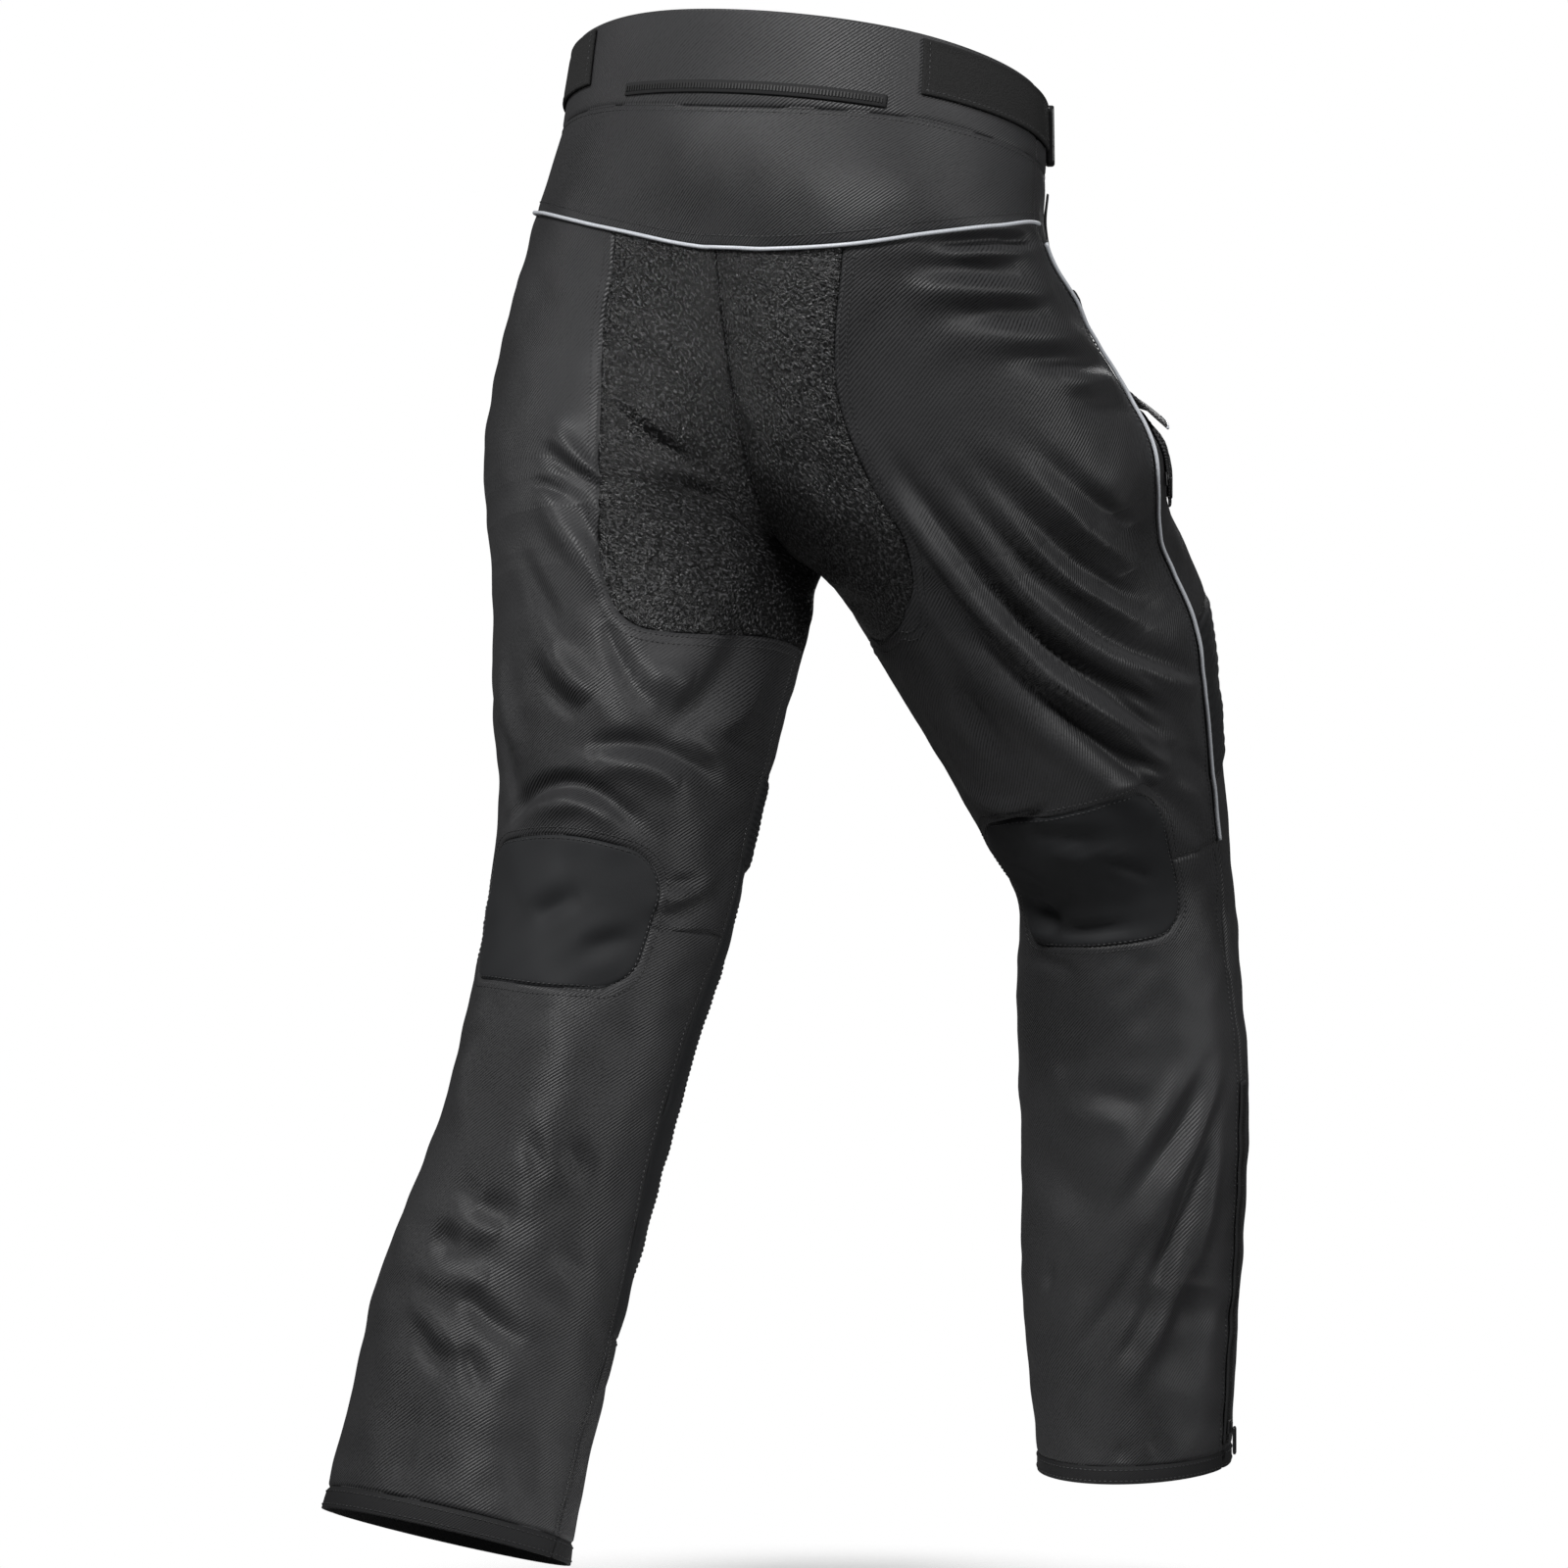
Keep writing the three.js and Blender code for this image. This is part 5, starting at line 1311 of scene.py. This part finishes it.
# %% The tree that repeats a small form along paths
def repeat_tree(name, block):
    tree = bpy.data.node_groups.new(name, "GeometryNodeTree")
    tree.is_modifier = True
    sockets = {
        "paths": tree.interface.new_socket(name="Paths", in_out="INPUT", socket_type="NodeSocketGeometry"),
        "pitch": tree.interface.new_socket(name="Pitch", in_out="INPUT", socket_type="NodeSocketFloat"),
        "size": tree.interface.new_socket(name="Size", in_out="INPUT", socket_type="NodeSocketVector"),
        "finish": tree.interface.new_socket(name="Finish", in_out="INPUT", socket_type="NodeSocketMaterial"),
    }
    tree.interface.new_socket(name="Pieces", in_out="OUTPUT", socket_type="NodeSocketGeometry")
    given, made = add(tree, "NodeGroupInput"), add(tree, "NodeGroupOutput")
    curve = add(tree, "GeometryNodeMeshToCurve")
    even = add(tree, "GeometryNodeResampleCurve", mode="LENGTH")
    tangent = add(tree, "GeometryNodeInputTangent")
    out = add(tree, "GeometryNodeInputNamedAttribute", data_type="FLOAT_VECTOR")
    out.inputs["Name"].default_value = "out"
    turned = add(tree, "FunctionNodeAxesToRotation", primary_axis="Z", secondary_axis="X")
    form = add(tree, "GeometryNodeMeshCube" if block else "GeometryNodeMeshIcoSphere")
    shaped = add(tree, "GeometryNodeTransform")
    placed = add(tree, "GeometryNodeInstanceOnPoints")
    real = add(tree, "GeometryNodeRealizeInstances")
    finished = add(tree, "GeometryNodeSetMaterial")
    link = tree.links.new
    link(given.outputs["Paths"], curve.inputs["Mesh"])
    link(curve.outputs["Curve"], even.inputs["Curve"])
    link(given.outputs["Pitch"], even.inputs["Length"])
    link(tangent.outputs["Tangent"], turned.inputs["Primary Axis"])
    link(out.outputs["Attribute"], turned.inputs["Secondary Axis"])
    link(form.outputs["Mesh"], shaped.inputs["Geometry"])
    link(given.outputs["Size"], shaped.inputs["Scale"])
    link(even.outputs["Curve"], placed.inputs["Points"])
    link(shaped.outputs["Geometry"], placed.inputs["Instance"])
    link(turned.outputs["Rotation"], placed.inputs["Rotation"])
    link(placed.outputs["Instances"], real.inputs["Geometry"])
    link(real.outputs["Geometry"], finished.inputs["Geometry"])
    link(given.outputs["Finish"], finished.inputs["Material"])
    link(finished.outputs["Geometry"], made.inputs["Pieces"])
    return tree, {key: socket.identifier for key, socket in sockets.items()}


STITCH_TREE = repeat_tree("stitches along paths", block=False)
TOOTH_TREE = repeat_tree("teeth along paths", block=True)


def repeated(name, paths, tree_and_inputs, size, pitch, material):
    """One plain mesh of small forms along all the paths; size and pitch in millimetres."""
    tree, inputs = tree_and_inputs
    points = np.concatenate([p for p, _ in paths]) * MM
    outs = np.concatenate([o for _, o in paths])
    edges, start = [], 0
    for p, _ in paths:
        edges += [(start + k, start + k + 1) for k in range(len(p) - 1)]
        start += len(p)
    mesh = bpy.data.meshes.new(name + " paths")
    mesh.from_pydata(points.tolist(), edges, [])
    out = mesh.attributes.new("out", "FLOAT_VECTOR", "POINT")
    out.data.foreach_set("vector", outs.astype(np.float32).ravel())
    source = into_scene(name + " paths", mesh)
    modifier = source.modifiers.new("repeat", "NODES")
    modifier.node_group = tree
    modifier[inputs["pitch"]] = pitch * MM
    modifier[inputs["size"]] = [value * MM for value in size]
    modifier[inputs["finish"]] = material
    evaluated = source.evaluated_get(bpy.context.evaluated_depsgraph_get())
    made_mesh = bpy.data.meshes.new_from_object(evaluated)
    bpy.data.objects.remove(source)
    made_mesh.name = name
    print(name, "has", len(made_mesh.polygons), "faces")
    return into_scene(name, made_mesh)


# %% Paths of the sewing
STITCH_SIZE, STITCH_PITCH, STITCH_LIFT = (0.45, 0.55, 1.35), 3.8, 0.2


def stitch_path(leg, around, down, lift=STITCH_LIFT):
    around, down = np.broadcast_arrays(np.asarray(around, float), np.asarray(down, float))
    return on_cloth(leg, around, down, lift), outward(leg, around, down)


def beside_line(leg, name, shift, start, end, count=120):
    around = np.linspace(start, end, count)
    return stitch_path(leg, around, line_at(leg, name, around) + shift)


def beside_side(leg, shift, top, bottom, count=160):
    down = np.linspace(top, bottom, count)
    return stitch_path(leg, side_at(down) + shift / girth(leg, down), down)


def round_edge(leg, edges, outside):
    """A path round a cut-out: edges give its sides as functions, outside the distance from its edge."""
    left, right, top, bottom = edges
    radius = CORNER_RADIUS
    ring = float(girth(leg, np.float64(top(0.25))))
    around, down = [], []
    quarter = np.linspace(0, math.pi / 2, 10)

    def corner(u_edge, side, v_edge, fall, angles):
        u0 = u_edge - side * radius / ring
        v0 = v_edge(u0) - fall * radius
        around.extend(u0 + side * (radius + outside) * np.sin(angles) / ring)
        down.extend(v0 + fall * (radius + outside) * np.cos(angles))

    span = np.linspace(left + radius / ring, right - radius / ring, 40)
    around.extend(span)
    down.extend(top(span) - outside)
    corner(right, 1, top, -1, quarter)
    corner(right, 1, bottom, 1, quarter[::-1])
    around.extend(span[::-1])
    down.extend(bottom(span[::-1]) + outside)
    corner(left, -1, bottom, 1, quarter)
    corner(left, -1, top, -1, quarter[::-1])
    around, down = np.array(around + around[:1]), np.array(down + down[:1])
    run = np.concatenate([[0], np.cumsum(np.hypot(np.diff(around) * ring, np.diff(down)))])
    even = np.arange(0, run[-1], 2.0)
    return stitch_path(leg, np.interp(even, run, around), np.interp(even, run, down))


def seat_edge_path(leg, outside):
    """Down the outer edge of the seat panel, round its corner and in to the crotch."""
    ring = float(girth(leg, np.float64(380)))
    radius = CORNER_RADIUS
    v_corner = float(line_at(leg, "seat", np.float64(0.17))) - radius
    fall = np.linspace(float(line_at(leg, "yoke", np.float64(0.2))) + 4, v_corner, 80)
    u_corner = float(seat_at(leg, v_corner)) - radius / ring
    angles = np.linspace(0, math.pi / 2, 12)[1:]
    back = np.linspace(u_corner, 0.012, 40)[1:]
    around = np.concatenate([seat_at(leg, fall) + outside / girth(leg, fall),
                             u_corner + (radius + outside) * np.cos(angles) / ring, back])
    corner_down = v_corner + (radius + outside) * np.sin(angles)
    ease = corner_down[-1] - (line_at(leg, "seat", np.float64(u_corner)) + outside)
    down = np.concatenate([fall, corner_down, line_at(leg, "seat", back) + outside + ease])
    return stitch_path(leg, around, down)


paths = []
for leg in LEGS:
    patch_edges = (*PATCH_EDGES, lambda u, leg=leg: line_at(leg, "patch_top", u),
                   lambda u, leg=leg: line_at(leg, "patch_end", u))
    fork_down = float(line_at(leg, "fork", np.float64(0)))
    knee_side = float(line_at(leg, "knee", np.float64(0.5)))
    paths += [
        beside_line(leg, "band", 3.0, 0.002, 0.998, 260),
        beside_line(leg, "yoke", -8.0, 0.002, 0.498),
        seat_edge_path(leg, 2.4),
        seat_edge_path(leg, 7.0),
        round_edge(leg, patch_edges, -2.0),
        round_edge(leg, patch_edges, 5.0),
        beside_side(leg, -5.0, 122, knee_side),
        beside_side(leg, -8.5, knee_side + 4, 984),
        beside_side(leg, 8.5, 702, 984),
        beside_line(leg, "knee", -3.0, 0.01, PATCH_EDGES[0] - 0.012, 40),
        beside_line(leg, "knee", -3.0, PATCH_EDGES[1] + 0.012, 0.492, 40),
        beside_line(leg, "hem_band", 3.0, 0.0, 1.0, 240),
        beside_line(leg, "hem", -2.5, 0.0, 1.0, 240),
        beside_line(leg, "rib_top", -3.0, 0.51, 0.99),
        beside_line(leg, "patch_top", 3.0, 0.51, 0.92),
        stitch_path(leg, np.full(160, 0.012), np.linspace(fork_down + 70, 984, 160)),
        stitch_path(leg, np.full(120, 0.918), np.linspace(565, 846, 120)),
        beside_line(leg, "strip_end", 3.0, 0.935, 0.995, 20),
    ]
centre_down = np.linspace(160, 336, 60)
paths.append(stitch_path("right", 2.6 / girth("right", centre_down), centre_down))
front_down = np.linspace(62, 300, 70)
paths.append(stitch_path("left", 1 - 38 / girth("left", front_down), front_down))
LAID_SEAMS = [((0.08, 0.92), (0.03, 0.03)), ((0.08, 0.92), (0.97, 0.97)), ((0.92, 0.92), (0.03, 0.97))]
for name, spans, _, _, thickness, stand in laid:
    if name.startswith(("hip_tab", "pocket_welt")):
        continue
    for r, c in LAID_SEAMS:
        r, c = np.linspace(*r, 60), np.linspace(*c, 60)
        for leg, rows, columns in spans:
            around, down = place_on_grid(leg, between(*rows, r), between(*columns, c))
            off = LAID_LIFT + thickness - CHANNEL["deep"] + STITCH_LIFT + (stand(r, c) if stand else 0)
            paths.append(over_seams(leg, around, down, off))
            if len(spans) > 1 and c[0] == c[-1]:
                break
stitches = repeated("stitching", paths, STITCH_TREE, STITCH_SIZE, STITCH_PITCH, THREAD)
trim_piece(stitches, "twill")

# %% Zip teeth
TOOTH_SIZE, TOOTH_PITCH, TOOTH_MARGIN = (1.3, 3.8, 1.1), 2.3, 3
tooth_lift = CONNECTION_ZIP["thickness"] + 0.5
tooth_ends = CONNECTION_ZIP["right_end"] - 0.006, CONNECTION_ZIP["left_end"] - 0.004
tooth_paths = [waist_path(*tooth_ends, tooth_lift)]
for leg in LEGS:
    zip_down = np.linspace(LEG_ZIP["top"] + TOOTH_MARGIN, LEG_ZIP["end"] - TOOTH_MARGIN, 90)
    tooth_paths.append(over_seams(leg, side_at(zip_down), zip_down, tooth_lift))
TEETH_BLACK = plain_finish("dull black teeth", (0.014, 0.014, 0.014), 0.55, 900.0, 0.3)
trim_piece(repeated("zip_teeth", tooth_paths, TOOTH_TREE, TOOTH_SIZE, TOOTH_PITCH, TEETH_BLACK), "hard_black")

# %% [markdown]
# ## Hard pieces
#
# Loops, sliders, pulls and the snap are moulded or stamped, so their edges are rounded. Each is built in
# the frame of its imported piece: a pull hangs from its joint's axis and moves with its own body.

# %% Frames and moulded forms
def packed_centre(node):
    corners = np.array([v.co for v in frame["nodes"][node].data.vertices], float) / MM
    corners = corners.round(3)
    return (corners.min(axis=0) + corners.max(axis=0)) / 2


def hard_frame(node, leg, around, down):
    """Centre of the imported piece, with its directions across, up and outward."""
    out = outward(leg, np.float64(around), np.float64(down))
    side = np.cross([0, 0, 1.0], out)
    side /= np.linalg.norm(side)
    return packed_centre(node), np.stack([side, np.cross(out, side), out])


def rounded_outline(width, height, radius, count=48):
    """Points round a rectangle with round corners."""
    angle = math.tau * (np.arange(count) + 0.5) / count
    half = np.array([width / 2 - radius, height / 2 - radius])
    corner = np.sign(np.stack([np.cos(angle), np.sin(angle)], -1)) * half
    quarter, rest = np.divmod(angle, math.pi / 2)
    turn_by = (quarter + smooth(rest / (math.pi / 2))) * math.pi / 2
    return corner + radius * np.stack([np.cos(turn_by), np.sin(turn_by)], -1)


RING_SECTION = [(0.0, 0.22), (0.0, 0.78), (0.22, 1.0), (0.78, 1.0),
                (1.0, 0.78), (1.0, 0.22), (0.78, 0.0), (0.22, 0.0)]
BLOCK_SIDES = 24


def moulded_ring(name, outer, hole, depth, centre, axes, material):
    """A plate with a hole: width, height and corner radius of each outline."""
    outside, inside = rounded_outline(*outer), rounded_outline(*hole)
    rings = []
    for share_in, share_up in RING_SECTION:
        flat = outside + (inside - outside) * share_in
        rings.append(np.column_stack([flat, np.full(len(flat), (share_up - 0.5) * depth)]))
    local = np.stack(rings, axis=1)
    count, turns = local.shape[1], local.shape[0]
    k, s = np.meshgrid(np.arange(turns), np.arange(count), indexing="ij")
    here, ahead = k * count, (k + 1) % turns * count
    beside = (s + 1) % count
    quads = np.stack([here + s, ahead + s, ahead + beside, here + beside], axis=-1).reshape(-1, 4)
    return mesh_object(name, centre + local.reshape(-1, 3) @ axes, quads, material)


def moulded_block(name, size, centre, axes, material, shift=(0, 0, 0)):
    """A block with rounded edges, made of stacked rounded outlines."""
    width, height, depth = size
    soft = 0.28 * min(size)
    levels = [(soft, 0.0), (0.3 * soft, 0.12), (0.0, 0.3), (0.0, 0.7), (0.3 * soft, 0.88), (soft, 1.0)]
    rings = []
    for inset, up in levels:
        radius = max(soft * 1.4 - inset, 0.2)
        outline = rounded_outline(width - 2 * inset, height - 2 * inset, radius, BLOCK_SIDES)
        rings.append(np.column_stack([outline, np.full(BLOCK_SIDES, (up - 0.5) * depth)]))
    local = np.concatenate(rings) + np.array(shift)
    quads = tube_quads(len(levels), BLOCK_SIDES)
    return mesh_object(name, centre + local @ axes, quads, material)


# %% Loops, sliders and the snap
LOOP = {"around": 0.597, "down": 23, "tall": 42, "wide": 14, "bar": 2.6, "depth": 5.5, "corners": (3.2, 1.4)}
SLIDER = {"wide": 7, "tall": 10, "deep": 3}
SNAP = {"around": 0.945, "down": 29, "radius": 7.5, "height": 2.4}
ZIP_PLACES = {"leg_zip": (0.5, 966), "pocket_zip": (0.56, 312)}
for leg in LEGS:
    centre, axes = hard_frame(f"strap_loop_{leg}", leg, LOOP["around"], LOOP["down"])
    outer = (LOOP["wide"], LOOP["tall"], LOOP["corners"][0])
    hole = (LOOP["wide"] - 2 * LOOP["bar"], LOOP["tall"] - 2 * LOOP["bar"], LOOP["corners"][1])
    loop = moulded_ring(f"loop_{leg}", outer, hole, LOOP["depth"], centre, axes, HARD_BLACK)
    trim_piece(loop, "hard_black", f"strap_loop_{leg}")
    for kind, (around, down) in ZIP_PLACES.items():
        node = f"{kind}_slider_{leg}"
        centre, axes = hard_frame(node, leg, around, down)
        body_size = (SLIDER["wide"], SLIDER["tall"], SLIDER["deep"] * 0.6)
        body_shift = (0, 0, -0.2 * SLIDER["deep"])
        body = moulded_block(f"slider_{kind}_{leg}", body_size, centre, axes, HARD_BLACK, body_shift)
        trim_piece(body, "hard_black", node)
        bridge_size = (2.4, SLIDER["tall"] * 0.8, SLIDER["deep"] * 0.5)
        bridge_shift = (0, 0, 0.22 * SLIDER["deep"])
        bridge = moulded_block(f"bridge_{kind}_{leg}", bridge_size, centre, axes, HARD_BLACK, bridge_shift)
        trim_piece(bridge, "hard_black")

centre, axes = hard_frame("waist_snap", "left", SNAP["around"], SNAP["down"])
rim_outline = (2 * SNAP["radius"], 2 * SNAP["radius"], SNAP["radius"])
cap_outline = (1.3 * SNAP["radius"], 1.3 * SNAP["radius"], 0.65 * SNAP["radius"])
rim = moulded_ring("snap_rim", rim_outline, cap_outline, SNAP["height"], centre, axes, HARD_BLACK)
trim_piece(rim, "hard_black", "waist_snap")
cap_size = (1.3 * SNAP["radius"], 1.3 * SNAP["radius"], SNAP["height"] * 0.7)
trim_piece(moulded_block("snap_cap", cap_size, centre, axes, HARD_BLACK), "hard_black")

# %% Pulls, each on its own body
PULL = {"wide": 5, "thick": 1.6, "corner": 2.2, "leg_zip": 20.8, "pocket_zip": 14.8}
PULL_HOLE = {"narrower": 3.0, "shorter": 4.5, "corner": 0.9}
joints = {joint["name"]: joint for joint in frame["joints"]}
for leg in LEGS:
    for kind in ZIP_PLACES:
        node = f"{kind}_pull_{leg}"
        joint = joints[f"{kind}_pull_swing_{leg}"]
        axis = np.array(joint["axis"], float)
        axis /= np.linalg.norm(axis)
        level = np.cross([0, 0, 1.0], axis)
        centre, axes = packed_centre(node), np.stack([axis, [0, 0, 1.0], level])
        tall = PULL[kind]
        outer = (PULL["wide"], tall, PULL["corner"])
        hole = (PULL["wide"] - PULL_HOLE["narrower"], tall - PULL_HOLE["shorter"], PULL_HOLE["corner"])
        pull = moulded_ring(f"pull_{kind}_{leg}", outer, hole, PULL["thick"], centre, axes, HARD_BLACK)
        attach(pull, joint["child"])
        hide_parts(node)
print("hard pieces done")

# %% [markdown]
# ## Light, floor and camera
#
# The garment hangs in its worn pose over a pale floor, in soft light from a studio's wide lamps. The
# camera stands behind and to one side, as far off as its long lens needs.

# %% Camera at the photograph's angle
CAMERA = {"azimuth": 204.0, "distance": 3.6, "height": -0.4955, "aside": -0.017, "lens": 117.45}
SENSOR_WIDTH, FARTHEST = 36, 200
turn = math.radians(CAMERA["azimuth"] - 180)
towards = np.array([-math.sin(turn), math.cos(turn), 0])
across = np.array([-math.cos(turn), -math.sin(turn), 0])
camera_data = bpy.data.cameras.new("camera")
camera_data.lens = CAMERA["lens"]
camera_data.sensor_width = SENSOR_WIDTH
camera_data.clip_end = FARTHEST
camera = into_scene("camera", camera_data)
camera.location = towards * CAMERA["distance"] + across * CAMERA["aside"] + np.array([0, 0, CAMERA["height"]])
camera.rotation_euler = (math.pi / 2, 0, turn + math.pi)
bpy.context.scene.camera = camera

# %% Floor and lamps
FLOOR_LEVEL, FLOOR_FADE = -1.1, (0.0, 0.1)
STUDIO_LIGHT, LAMP_AIM = 0.06, -0.45
bpy.ops.mesh.primitive_circle_add(vertices=64, radius=60, fill_type="NGON", location=(0, 0, 0))
floor = bpy.context.object
floor.name = "floor"
for vertex in floor.data.vertices:
    vertex.co.z = FLOOR_LEVEL
floor_material, floor_tree, floor_shader = new_material("pale floor")
set_inputs(floor_shader, {"Base Color": (0.9, 0.9, 0.9, 1), "Roughness": 0.9, "Specular IOR Level": 0.0})
floor_place = add(floor_tree, "ShaderNodeTexCoord")
from_middle = add(floor_tree, "ShaderNodeVectorMath", operation="LENGTH")
floor_tree.links.new(floor_place.outputs["Object"], from_middle.inputs[0])
fade = add(floor_tree, "ShaderNodeMapRange", interpolation_type="SMOOTHSTEP")
fade_from, fade_to = (abs(FLOOR_LEVEL) + edge for edge in FLOOR_FADE)
set_inputs(fade, {"From Min": fade_from, "From Max": fade_to, "To Min": 1.0, "To Max": 0.0})
floor_tree.links.new(from_middle.outputs["Value"], fade.inputs["Value"])
floor_tree.links.new(fade.outputs["Result"], floor_shader.inputs["Alpha"])
floor.data.materials.append(floor_material)

world = bpy.data.worlds.new("studio")
bpy.context.scene.world = world
world.use_nodes = True
backdrop = world.node_tree.nodes["Background"]
backdrop.inputs["Color"].default_value = (1, 1, 1, 1)
ray = world.node_tree.nodes.new("ShaderNodeLightPath")
level = world.node_tree.nodes.new("ShaderNodeMapRange")
set_inputs(level, {"To Min": STUDIO_LIGHT, "To Max": 1.0})
world.node_tree.links.new(ray.outputs["Is Camera Ray"], level.inputs["Value"])
world.node_tree.links.new(level.outputs["Result"], backdrop.inputs["Strength"])

# name, then aside, near and high in metres, then size and power
LAMPS = [
    ("key", -1.0, 2.3, 1.9, 0.6, 86.0),
    ("side", 2.5, 1.7, 0.3, 0.6, 30.0),
    ("far side", -2.6, 0.6, 0.3, 0.7, 12.0),
    ("back", 0.6, -2.8, 1.2, 1.4, 26.0),
]
for name, aside, near, high, size, power in LAMPS:
    lamp_data = bpy.data.lights.new(name, "AREA")
    lamp_data.size = size
    lamp_data.energy = power
    lamp = into_scene(name, lamp_data)
    place = across * aside + towards * near + np.array([0, 0, high])
    lamp.location = place
    aim = np.array([0, 0, LAMP_AIM]) - place
    lamp.rotation_euler = Vector(aim).to_track_quat("-Z", "Y").to_euler()
bpy.context.scene.view_settings.view_transform = "Standard"
